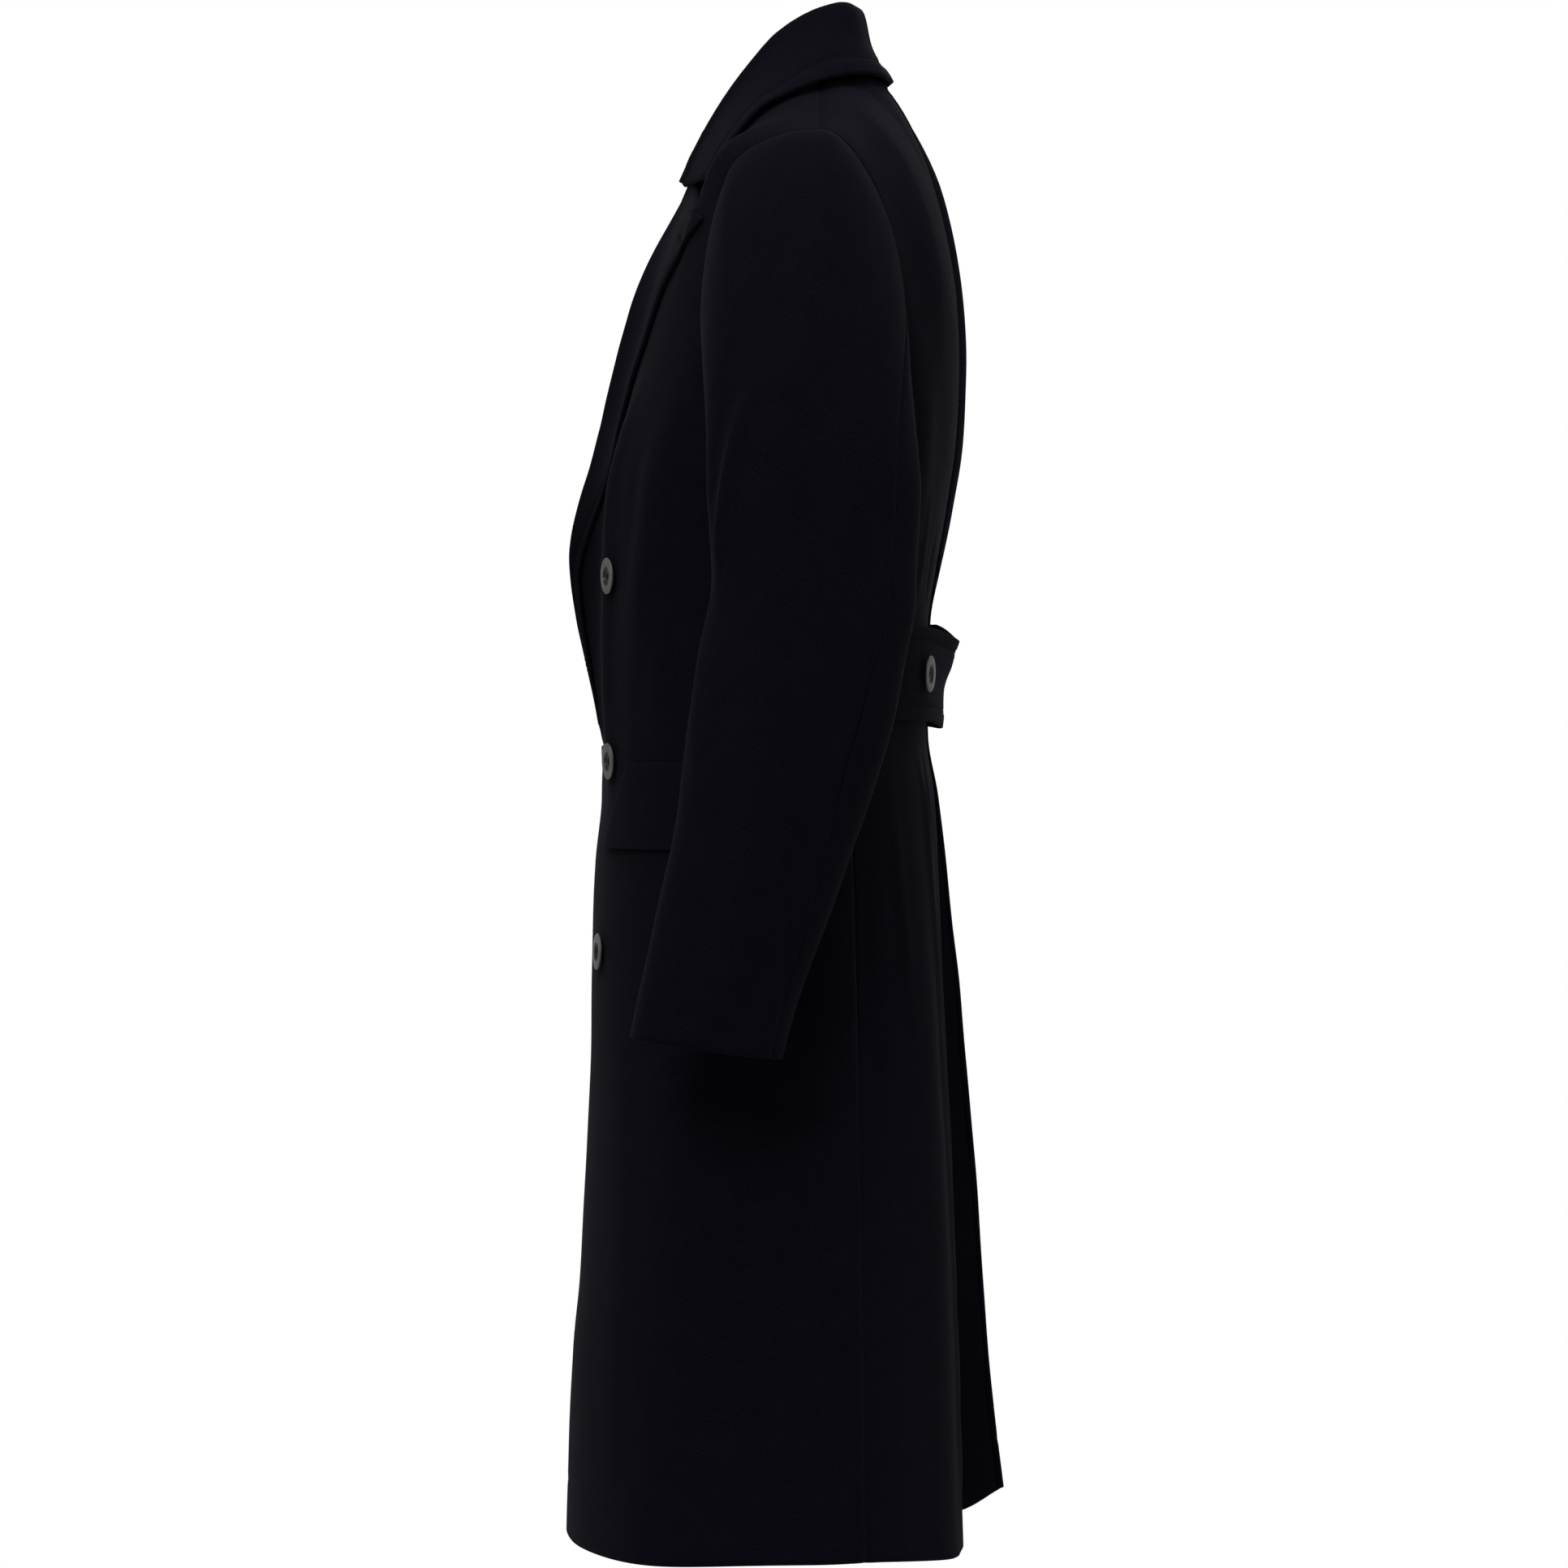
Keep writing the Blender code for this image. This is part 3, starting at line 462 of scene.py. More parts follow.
    def front(self, side: Side, angle: Array, level: Array) -> Array:
        """Points on a front's outer face, with its lapel roll and the right one's tuck under the left.

        Args:
            side: The half of the coat.
            angle: Angles round the body.
            level: Levels down it.

        Returns:
            Their places.
        """
        point = self.point(side, angle, level)
        own_x = side.value * point[..., 0]
        away = np.clip(1 - (own_x - self.roll_x(level)) / self.roll_reach, 0, 1)
        lift = self.roll_lift.at("lift", level) * away * away
        if side is Side.RIGHT:
            lift = lift * eased(2 * self.roll_x(level) / self.roll_expose)
            under = eased((self.tuck_run - own_x - self.roll_x(level)) / self.tuck_run)
            lift = lift - under * self.tuck_depth.at("tuck", level)
        point[..., 1] = point[..., 1] - lift
        return point

    def kicked(self, x: Array, level: Array) -> Array:
        """How far the right back swells behind the left one, and its pleat edge kicks out below the belt."""
        sewn = eased((level - self.kick_start) / self.kick_blend) * np.exp(-((x / self.kick_seam) ** 2))
        return self.kick_out.at("kick", level) * np.exp(-((x / self.kick_reach) ** 2)) * (1 - sewn)

    def back(self, side: Side, angle: Array, level: Array) -> Array:
        """Points on a back's outer face, with the right one's swell and the kick of its pleat edge.

        Args:
            side: The half of the coat.
            angle: Angles round the body.
            level: Levels down it.

        Returns:
            Their places.
        """
        point = self.point(side, angle, level)
        if side is Side.RIGHT:
            point[..., 1] = point[..., 1] + self.kicked(point[..., 0], level)
        return point

    def moved_out(self, surface: Surface, side: Side, angle: Array, level: Array, distance: Array) -> Array:
        """Points of a surface moved out along its normal.

        Args:
            surface: The face they lie on.
            side: The half of the coat.
            angle: Angles round the body.
            level: Levels down it.
            distance: How far out each point goes.

        Returns:
            The moved points.
        """
        turn, drop = self.normal_turn, self.normal_drop
        along = surface(side, angle + turn, level) - surface(side, angle - turn, level)
        above = surface(side, angle, np.minimum(level + drop, -drop))
        up = above - surface(side, angle, level - drop)
        normal = side.value * np.cross(along, up)
        return surface(side, angle, level) + unit(normal) * np.asarray(distance)[..., None]

    def front_normal(self, side: Side, angle: Array, level: Array) -> Array:
        """The normals of a front's outer face."""
        out = self.moved_out(self.front, side, angle, level, np.ones(np.shape(angle)))
        return out - self.front(side, angle, level)

    def across_back(self, x: Array, level: Array, distance: Array) -> Array:
        """Points at distances from the smooth face of both backs.

        Args:
            x: Where they lie across the back, towards the wearer's left.
            level: Their levels.
            distance: How far out each lies, or in where it is below 0.

        Returns:
            Their places.
        """
        angle = math.pi - self.angle_at(np.abs(x), level)
        left, right = (self.moved_out(self.point, side, angle, level, distance) for side in Side)
        return np.where((x >= 0)[..., None], left, right)

    def seam_angle(self, level: Array) -> Array:
        """The angle of the side seam.

        Args:
            level: Levels down the body.

        Returns:
            The angle at each level.
        """
        middle = self.section.at("side", level)
        share = (self.seam.at("seam", level) - middle) / (self.section.at("back", level) - middle)
        return math.pi / 2 + np.arcsin(np.clip(share, 0, 1) ** (self.power / 2))

    def armhole_angles(self, level: Array) -> tuple[Array, Array]:
        """The angles of a front's and a back's outer edge: the armhole, or the side seam below it.

        Args:
            level: Levels down the body.

        Returns:
            The front's angles and the back's.
        """
        seam = self.seam_angle(np.minimum(level, self.armpit))
        spring = np.clip(1 + level / self.armhole_spring, 0, 1) ** 2
        opening = self.angle_at(self.armhole_x + (self.shoulder_x - self.armhole_x) * spring, level)
        left = 1 - np.clip((level - self.armpit) / self.armhole_bowl, 0, 1)
        bowl = 1 - np.sqrt(1 - left * left)
        front_edge = opening + (seam - opening) * bowl
        back_edge = math.pi - opening + (seam - math.pi + opening) * bowl
        return front_edge, back_edge

    def armhole_levels(self, steps: int) -> Array:
        """Levels from the shoulder to the armpit, closest together at both ends."""
        return self.armpit * (1 - np.cos(np.linspace(0, math.pi, steps + 1))) / 2

    def neck_seam(self, station: float, nape_share: float) -> Array:
        """The left half's neckline, from the back centre to the front of the collar.

        Args:
            station: The share of the way along the collar.
            nape_share: The station of the shoulder seam.

        Returns:
            The neckline's point there.
        """
        if station < nape_share:
            x = self.neck_x * math.sin(math.pi / 2 * station / nape_share)
            level = -self.nape_drop * (1 - (x / self.neck_x) ** 2)
            return self.point(Side.LEFT, math.pi - self.angle_at(x, level), level)
        share = (station - nape_share) / (1 - nape_share)
        level = self.roll_top_level * share
        return self.front(Side.LEFT, self.angle_at(self.roll_x(level), level), level)


@dataclass
class SleeveForm:
    """A sleeve as a smooth form: its rings below the cap, its two seams, its folds and its creases."""

    power: float = 2.15
    join_z: float = -268.0
    cuff_z: float = -660.0
    full_turn: float = 360.0
    degree_size: float = 1.08
    rings: Rows = (
        (-200, -4, 78, 294, 54, 0),
        (-268, -4, 75.5, 297, 52, 0),
        (-337, -4.5, 72.5, 300, 50, 0),
        (-384, -13, 73, 302, 49, 0.02),
        (-424, -20.5, 72.5, 303, 48, 0.04),
        (-462, -28.5, 69.5, 304, 47, 0.06),
        (-500, -37, 65, 305, 45, 0.08),
        (-560, -53.5, 60.5, 306, 42, 0.10),
        (-627, -73, 55, 306, 39, 0.13),
        (-660, -81, 54, 306, 38, 0.14),
    )
    seams: Rows = (
        (-200, 120, -45),
        (-268, 120, -49),
        (-337, 120, -47),
        (-453, 118, -39),
        (-520, 117, -46),
        (-660, 116, -58),
    )
    folds: tuple[Fold, ...] = (
        Fold(68, 84, -150, -345, 4.5, 14),
        Fold(96, 62, -330, -470, 2, 13),
        Fold(-70, -38, -360, -500, 4, 13),
    )
    left_creases: tuple[Crease, ...] = (
        Crease((28, -165), (74, -345), 4.8, 8, bow=-2, steep=1.6, fade=0.3),
        Crease((46, -160), (79, -318), -3.0, 8, bow=-2),
        Crease((19, -140), (22, -385), 5.4, 15, fade=0.25),
        Crease((23, -335), (-5, -662), 5.8, 15, fade=0.2),
        Crease((4, -150), (-22, -425), -3.4, 13, fade=0.2),
        Crease((-20, -375), (-30, -660), -3.0, 13, fade=0.2),
        Crease((-15, -155), (-35, -425), 2.6, 9, fade=0.3),
        Crease((84, -396), (44, -436), -1.6, 9, bow=3),
        Crease((88, -446), (50, -478), -1.3, 9, bow=-3),
        Crease((-70, -392), (-34, -430), 1.4, 8, bow=3),
        Crease((-66, -446), (-32, -470), -1.2, 8),
        Crease((176, -330), (214, -420), 1.8, 10),
        Crease((168, -420), (206, -470), -1.6, 10),
    )
    right_creases: tuple[Crease, ...] = (
        Crease((30, -170), (75, -338), 3.8, 8, bow=-3, steep=1.5, fade=0.3),
        Crease((47, -165), (78, -312), -2.7, 8, bow=-1),
        Crease((18, -145), (21, -390), 4.8, 15, fade=0.25),
        Crease((22, -340), (-6, -660), 5.5, 15, fade=0.2),
        Crease((3, -155), (-23, -430), -3.2, 13, fade=0.2),
        Crease((-23, -380), (-31, -650), -2.6, 13, fade=0.2),
        Crease((-14, -170), (-34, -430), 2.0, 8, fade=0.3),
        Crease((82, -402), (46, -440), -1.5, 9, bow=4),
        Crease((86, -450), (52, -484), -1.2, 9, bow=-2),
        Crease((-68, -388), (-36, -424), 1.5, 8, bow=2),
        Crease((-64, -452), (-33, -478), -1.1, 8),
        Crease((178, -340), (212, -426), 1.7, 10),
        Crease((170, -426), (208, -476), -1.5, 10),
    )

    def __post_init__(self) -> None:
        """Makes the smooth curves from the tables."""
        self.ring = Track(("z", "middle", "half_depth", "across", "half_width", "tilt"), self.rings)
        self.seam = Track(("z", "front", "back"), self.seams)
        self.creases = {Side.LEFT: self.left_creases, Side.RIGHT: self.right_creases}

    def lift(self, degrees: Array, z: Array) -> Array:
        """The height of the sleeve's long folds.

        Args:
            degrees: Places round the sleeve.
            z: Heights of its rings.

        Returns:
            How far the cloth stands off.
        """
        total = np.zeros(np.broadcast(degrees, z).shape)
        for fold in self.folds:
            share = (fold.top - z) / (fold.top - fold.bottom)
            off = (degrees - fold.middle(share)) / fold.spread
            swell = np.sin(np.pi * np.sqrt(np.clip(share, 0, 1))) ** 2
            total = total + fold.height * np.exp(-off * off) * swell
        return total

    def point(self, side: Side, degrees: Array, z: Array) -> Array:
        """Points on a sleeve's outer face below its cap.

        Args:
            side: Which sleeve.
            degrees: Places round it, from its outer side towards the front.
            z: Heights of its rings.

        Returns:
            Their places.
        """
        turn = np.radians(degrees)
        power = 2 / self.power
        across = np.sign(np.cos(turn)) * np.abs(np.cos(turn)) ** power
        ahead = np.sign(np.sin(turn)) * np.abs(np.sin(turn)) ** power
        lift = self.lift(degrees, z)
        y = -(self.ring.at("half_depth", z) + lift) * ahead
        x = self.ring.at("across", z) + (self.ring.at("half_width", z) + lift) * across
        height = z - self.ring.at("tilt", z) * y
        return np.stack(np.broadcast_arrays(side.value * x, self.ring.at("middle", z) + y, height), axis=-1)

    def ring_degrees(self, z: float, share: Array, seams: tuple[str, str]) -> Array:
        """Degrees of a sleeve piece's points at a height, spread between its two seams.

        Args:
            z: The height.
            share: Where the points lie between the seams.
            seams: The seams' names.

        Returns:
            The points' degrees.
        """
        start = self.seam.at(seams[0], z)
        end = self.seam.at(seams[1], z)
        end = end + self.full_turn * (end < start)
        return start + (end - start) * share

    def creased(self, side: Side, degrees: Array, z: Array) -> Array:
        """The lift of a sleeve's small creases."""
        nearest = (degrees + self.full_turn / 4) % self.full_turn - self.full_turn / 4
        return sum(crease.rise(nearest, z, self.degree_size) for crease in self.creases[side])


def arcs(grid: Array, axis: int) -> Array:
    """Lengths along a grid from its first row or column.

    Args:
        grid: Points in rows and columns.
        axis: 0 to measure down the columns, 1 to measure along the rows.

    Returns:
        The length at each point.
    """
    steps = np.linalg.norm(np.diff(grid, axis=axis), axis=-1)
    start = np.zeros_like(np.take(steps, [0], axis=axis))
    return np.cumsum(np.concatenate([start, steps], axis=axis), axis=axis)


@dataclass
class StitchLine:
    """A line for a row of stitches: its points and the cloth's normals there."""

    points: Array
    normals: Array

    def at(self, places: Array) -> tuple[Array, Array]:
        """Points and normals at lengths along the line.

        Args:
            places: The lengths.

        Returns:
            The points and the normals.
        """
        length = arcs(self.points[:, None], 0)[:, 0]
        points = np.column_stack([np.interp(places, length, column) for column in self.points.T])
        normals = np.column_stack([np.interp(places, length, column) for column in self.normals.T])
        return points, unit(normals)

    @property
    def length(self) -> float:
        """The line's length."""
        return float(arcs(self.points[:, None], 0)[-1, 0])


@dataclass(frozen=True)
class Groove:
    """A groove along an edge, or a ridge where its depth is below 0. Its width is from the middle out."""

    distance: float
    depth: float
    width: float


@dataclass(frozen=True)
class Unevenness:
    """The slight unevenness of worn wool: slow and quick waves, by their millimetres for each radian."""

    slow_x: float = 41.0
    slow_y: float = 58.0
    slow_z: float = 67.0
    slow_start: float = 0.7
    sway: float = 1.3
    sway_z: float = 97.0
    quick_x: float = 17.0
    quick_x_fall: float = 29.0
    quick_y: float = 19.0
    quick_y_fall: float = 23.0
    quick_start: float = 2.1
    quick_share: float = 0.35

    def at(self, points: Array) -> Array:
        """The height of the waves.

        Args:
            points: Places on the cloth.

        Returns:
            The height at each, where a slow wave is 1 high.
        """
        x, y, z = np.moveaxis(points, -1, 0)
        slow = np.sin(x / self.slow_x + self.sway * np.sin(z / self.sway_z))
        slow = slow * np.sin(z / self.slow_z + y / self.slow_y + self.slow_start)
        quick = np.sin(x / self.quick_x - z / self.quick_x_fall + self.quick_start)
        quick = quick * np.sin(y / self.quick_y + z / self.quick_y_fall)
        return slow + self.quick_share * quick


@dataclass
class ClothSheet:
    """A sheet of cloth, as a grid of points on its outer face, that becomes a shell with a turned edge."""

    name: str
    grid: Array
    thickness: float
    inside_out: bool = False
    rim: float = 0.55
    waver: float = 0.55
    worn: Unevenness = Unevenness()

    def normals(self) -> Array:
        """Outward normals at the grid's points.

        Returns:
            A normal for each point.
        """
        along = np.gradient(self.grid, axis=1)
        down = np.gradient(self.grid, axis=0)
        normal = unit(np.cross(along, down))
        return -normal if self.inside_out else normal

    def from_edge(self, edge: Edge) -> Array:
        """Distances of the grid's points from one of its edges, along the cloth.

        Args:
            edge: The edge.

        Returns:
            A distance for each point.
        """
        axis = 0 if edge in (Edge.FIRST_ROW, Edge.LAST_ROW) else 1
        length = arcs(self.grid, axis)
        if edge in (Edge.LAST_ROW, Edge.LAST_COLUMN):
            length = np.take(length, [-1], axis=axis) - length
        return length

    def lift(self, height: Array) -> None:
        """Moves the cloth out along its normals."""
        self.grid = self.grid + self.normals() * np.asarray(height)[..., None]

    def unsettle(self) -> None:
        """Gives the cloth the slight unevenness of worn wool, the same in layers that lie on each other."""
        self.lift(self.waver * self.worn.at(self.grid))

    def press(self, edge: Edge, groove: Groove) -> None:
        """Presses a groove into the cloth along an edge."""
        off = (self.from_edge(edge) - groove.distance) / groove.width
        self.lift(-groove.depth * np.exp(-off * off))

    def line(self, edge: Edge, distance: float, trims: Pair = (0, 0)) -> StitchLine:
        """A line that runs along an edge.

        Args:
            edge: The edge it follows.
            distance: How far in from the edge it runs.
            trims: How far it stops short of the edge's two ends.

        Returns:
            The line on the cloth's face.
        """
        rows_run = edge in (Edge.FIRST_ROW, Edge.LAST_ROW)
        away = self.from_edge(edge)
        points, normals = self.grid, self.normals()
        if not rows_run:
            away, points, normals = away.T, points.swapaxes(0, 1), normals.swapaxes(0, 1)
        if edge in (Edge.LAST_ROW, Edge.LAST_COLUMN):
            away, points, normals = away[::-1], points[::-1], normals[::-1]
        count = away.shape[1]
        low = np.array([np.searchsorted(away[:, i], distance) for i in range(count)]).clip(1, len(away) - 1)
        pick = np.arange(count)
        share = (distance - away[low - 1, pick]) / (away[low, pick] - away[low - 1, pick]).clip(TINY)
        share = share[:, None]
        line = points[low - 1, pick] * (1 - share) + points[low, pick] * share
        facing = unit(normals[low - 1, pick] * (1 - share) + normals[low, pick] * share)
        length = arcs(line[:, None], 0)[:, 0]
        kept = (length >= trims[0]) & (length <= length[-1] - trims[1])
        return StitchLine(line[kept], facing[kept])

    def cut(self) -> tuple[Pair, float]:
        """The flat size and area that the sheet was cut to, in metres.

        Returns:
            Its width and length, and its area.
        """
        width = arcs(self.grid, 1)[:, -1].max() * MM
        length = arcs(self.grid, 0)[-1].max() * MM
        along = np.diff(self.grid, axis=1)
        down = np.diff(self.grid, axis=0)
        area = np.linalg.norm(np.cross(along[:-1], down[:, :-1]), axis=-1).sum() * MM * MM
        return (round(width, 3), round(length, 3)), round(float(area), 4)

    def build(self, finish: Material) -> Piece:
        """Makes the shell: an outer and an inner face and a rounded turned edge between them.

        Args:
            finish: The cloth's material.

        Returns:
            The new object, with a UV map in metres along the cloth.
        """
        rows, columns = self.grid.shape[:2]
        normals = self.normals()
        inner = self.grid - normals * self.thickness
        index = np.arange(rows * columns).reshape(rows, columns)
        around = np.concatenate([index[0, :-1], index[:-1, -1], index[-1, :0:-1], index[:0:-1, 0]])
        flat = self.grid.reshape(-1, 3)
        inward = np.zeros_like(self.grid)
        inward[0] += unit(self.grid[1] - self.grid[0])
        inward[-1] += unit(self.grid[-2] - self.grid[-1])
        inward[:, 0] += unit(self.grid[:, 1] - self.grid[:, 0])
        inward[:, -1] += unit(self.grid[:, -2] - self.grid[:, -1])
        turned = (flat + inner.reshape(-1, 3))[around] / 2 - self.rim * unit(inward.reshape(-1, 3)[around])
        points = np.concatenate([flat, inner.reshape(-1, 3), turned]) * MM
        square = (index[:-1, :-1], index[:-1, 1:], index[1:, 1:], index[1:, :-1])
        quads = np.stack(square, axis=-1).reshape(-1, 4)
        count = rows * columns
        middle = 2 * count + np.arange(len(around))
        after, middle_after = np.roll(around, -1), np.roll(middle, -1)
        upper = np.column_stack([around, middle, middle_after, after])
        lower = np.column_stack([middle, around + count, after + count, middle_after])
        faces = np.concatenate([quads, quads[:, ::-1] + count, upper, lower])
        if self.inside_out:
            faces = faces[:, ::-1]
        mesh = bpy.data.meshes.new(self.name)
        mesh.from_pydata(points.tolist(), [], faces.tolist())
        place = np.stack([arcs(self.grid, 1), arcs(self.grid, 0)], axis=-1).reshape(-1, 2) * MM
        place = np.concatenate([place, place, place[around]])
        layer = mesh.uv_layers.new(name="cloth")
        corners = np.empty(len(mesh.loops), dtype=np.int32)
        mesh.loops.foreach_get("vertex_index", corners)
        layer.data.foreach_set("uv", place[corners].astype(np.float32).ravel())
        mesh.materials.append(finish)
        mesh.shade_smooth()
        piece = bpy.data.objects.new(self.name, mesh)
        bpy.context.scene.collection.objects.link(piece)
        return piece


class Reading:
    """A shader output that takes part in sums, each of which adds a Math node."""

    def __init__(self, graph: "Graph", socket: bpy.types.NodeSocket) -> None:
        """Keeps the socket and the graph that it belongs to."""
        self.graph = graph
        self.socket = socket

    def __add__(self, other: "Reading | float") -> "Reading":
        """This plus the other."""
        return self.graph.math("ADD", self, other)

    __radd__ = __add__

    def __mul__(self, other: "Reading | float") -> "Reading":
        """This times the other."""
        return self.graph.math("MULTIPLY", self, other)

    __rmul__ = __mul__


Feed = Reading | float | tuple[float, ...]
Feeds = dict[str | int, Feed]


class Graph:
    """The nodes of one material, or of the surround, written as expressions."""

    def __init__(self, owner: Material | bpy.types.World) -> None:
        """Starts an empty tree.

        Args:
            owner: What the nodes belong to.
        """
        owner.use_nodes = True
        self.tree = owner.node_tree
        self.tree.nodes.clear()

    def feed(self, sockets: bpy.types.bpy_prop_collection, feeds: Feeds) -> None:
        """Sets or links sockets.

        Args:
            sockets: A node's inputs.
            feeds: Values or readings, by the sockets' names or numbers.
        """
        for key, value in feeds.items():
            if isinstance(value, Reading):
                self.tree.links.new(value.socket, sockets[key])
            else:
                sockets[key].default_value = value

    def node(self, kind: str, settings: dict[str, object], feeds: Feeds, out: str | int = 0) -> Reading:
        """Adds a node.

        Args:
            kind: The node's type.
            settings: Its own settings, made before its sockets are fed.
            feeds: Values or readings for its sockets.
            out: The output to read.

        Returns:
            The reading of that output.
        """
        made = self.tree.nodes.new(kind)
        for name, value in settings.items():
            setattr(made, name, value)
        self.feed(made.inputs, feeds)
        return Reading(self, made.outputs[out])

    def show(self, output: str, shader: Reading) -> None:
        """Ends the tree in an output node that shows a shader."""
        self.feed(self.tree.nodes.new(output).inputs, {"Surface": shader})

    def shade(self, feeds: Feeds) -> None:
        """Ends a material's tree in a Principled shader."""
        self.show("ShaderNodeOutputMaterial", self.node("ShaderNodeBsdfPrincipled", {}, feeds))

    def math(self, operation: str, first: Feed, second: Feed) -> Reading:
        """Adds a Math node on two values."""
        return self.node("ShaderNodeMath", {"operation": operation}, {0: first, 1: second})

    def noise(self, place: Reading, size: float, detail: float = 2.0, roughness: float = 0.5) -> Reading:
        """Noise with grains of about a size, in metres."""
        feeds = {"Vector": place, "Scale": 1 / size, "Detail": detail, "Roughness": roughness}
        return self.node("ShaderNodeTexNoise", {}, feeds, "Fac")

    def stretched(self, place: Reading, scale: Triple) -> Reading:
        """A place scaled along its axes."""
        return self.node("ShaderNodeMapping", {}, {"Vector": place, "Scale": scale})

    def blend(self, share: Reading, low: Triple, high: Triple) -> Reading:
        """A colour between two, by a share from 0 to 1."""
        settings = {"data_type": "RGBA", "clamp_factor": True}
        feeds = {0: share, MIX_FIRST: (*low, 1.0), MIX_SECOND: (*high, 1.0)}
        return self.node("ShaderNodeMix", settings, feeds, MIX_COLOUR)

    def between(self, value: Reading, low: float, high: float) -> Reading:
        """A value's share of the way from low to high, held to 0 and 1."""
        feeds = {"Value": value, "From Min": low, "From Max": high}
        return self.node("ShaderNodeMapRange", {"clamp": True}, feeds, "Result")

    def bump(self, height: Reading, strength: float, distance: float) -> Reading:
        """A normal from a height."""
        feeds = {"Height": height, "Strength": strength, "Distance": distance}
        return self.node("ShaderNodeBump", {}, feeds, "Normal")


@dataclass(frozen=True)
class WoolFinish:
    """Napped navy-black wool: felted, with short fibres brushed down the cloth and a soft bloom."""

    name: str = "navy_wool"
    deep: Triple = (0.0016, 0.0014, 0.0030)
    worn: Triple = (0.0068, 0.0062, 0.0112)
    fibre: float = 0.0008
    fibre_noise: Pair = (3.0, 0.65)
    fibre_range: Pair = (0.3, 0.75)
    felt: float = 0.0026
    felt_noise: Pair = (2.0, 0.55)
    mottle: float = 0.021
    lie: Triple = (1.0, 0.42, 1.0)
    tone_shares: Triple = (0.55, 0.25, 0.2)
    tone_range: Pair = (0.2, 0.8)
    nap_shares: Pair = (0.6, 0.5)
    nap_strength: float = 0.55
    nap_height: float = 0.0006
    rough: float = 0.84
    rough_spread: float = 0.14
    sheen: float = 0.020
    sheen_roughness: float = 0.42
    sheen_tint: tuple[float, float, float, float] = (0.72, 0.74, 1.0, 1.0)
    specular: float = 0.02

    def make(self) -> Material:
        """Builds the material.

        Returns:
            A material that reads the cloth's own UV map.
        """
        material = bpy.data.materials.new(self.name)
        graph = Graph(material)
        place = graph.node("ShaderNodeUVMap", {"uv_map": "cloth"}, {})
        fibre = graph.noise(graph.stretched(place, self.lie), self.fibre, *self.fibre_noise)
        felt = graph.noise(place, self.felt, *self.felt_noise)
        mottle = graph.noise(place, self.mottle)
        by_fibre, by_felt, by_mottle = self.tone_shares
        tone = graph.between(fibre, *self.fibre_range) * by_fibre + felt * by_felt + mottle * by_mottle
        nap = fibre * self.nap_shares[0] + felt * self.nap_shares[1]
        graph.shade(
            {
                "Base Color": graph.blend(graph.between(tone, *self.tone_range), self.deep, self.worn),
                "Roughness": self.rough + felt * self.rough_spread,
                "Normal": graph.bump(nap, self.nap_strength, self.nap_height),
                "Sheen Weight": self.sheen,
                "Sheen Roughness": self.sheen_roughness,
                "Sheen Tint": self.sheen_tint,
                "Specular IOR Level": self.specular,
            }
        )
        return material


@dataclass(frozen=True)
class HornFinish:
    """Grey horn with faint streaks and a half matt face."""

    name: str = "grey_horn"
    deep: Triple = (0.055, 0.054, 0.058)
    pale: Triple = (0.130, 0.128, 0.134)
    rough: float = 0.30
    rough_spread: float = 0.12
    streak: float = 0.006
    streak_noise: Pair = (4.0, 0.6)
    streak_range: Pair = (0.35, 0.7)
    streak_share: float = 0.8
    grain: float = 0.0007
    grain_share: float = 0.2
    grain_strength: float = 0.12
    grain_height: float = 0.0002
    lie: Triple = (1.0, 1.0, 0.35)

    def make(self) -> Material:
        """Builds the material.

        Returns:
            A material on the object's own coordinates.
        """
        material = bpy.data.materials.new(self.name)
        graph = Graph(material)
        place = graph.node("ShaderNodeTexCoord", {}, {}, "Object")
        streak = graph.noise(graph.stretched(place, self.lie), self.streak, *self.streak_noise)
        grain = graph.noise(place, self.grain)
        tone = graph.between(streak, *self.streak_range) * self.streak_share + grain * self.grain_share
        graph.shade(
            {
                "Base Color": graph.blend(tone, self.deep, self.pale),
                "Roughness": grain * self.rough_spread + self.rough,
                "Normal": graph.bump(grain, self.grain_strength, self.grain_height),
            }
        )
        return material


@dataclass(frozen=True)
class ThreadFinish:
    """Dark sewing thread with a faint twist."""

    name: str = "navy_thread"
    deep: Triple = (0.0020, 0.0018, 0.0032)
    pale: Triple = (0.0060, 0.0056, 0.0088)
    twist: float = 0.0005
    twist_detail: float = 1.0
    twist_range: Pair = (0.35, 0.65)
    twist_strength: float = 0.4
    twist_height: float = 0.0002
    rough: float = 0.75
    rough_spread: float = 0.2
    specular: float = 0.08

    def make(self) -> Material:
        """Builds the material.

        Returns:
            A material on the object's own coordinates.
        """
        material = bpy.data.materials.new(self.name)
        graph = Graph(material)
        place = graph.node("ShaderNodeTexCoord", {}, {}, "Object")
        twist = graph.noise(place, self.twist, self.twist_detail)
        graph.shade(
            {
                "Base Color": graph.blend(graph.between(twist, *self.twist_range), self.deep, self.pale),
                "Roughness": self.rough + twist * self.rough_spread,
                "Normal": graph.bump(twist, self.twist_strength, self.twist_height),
                "Specular IOR Level": self.specular,
            }
        )
        return material


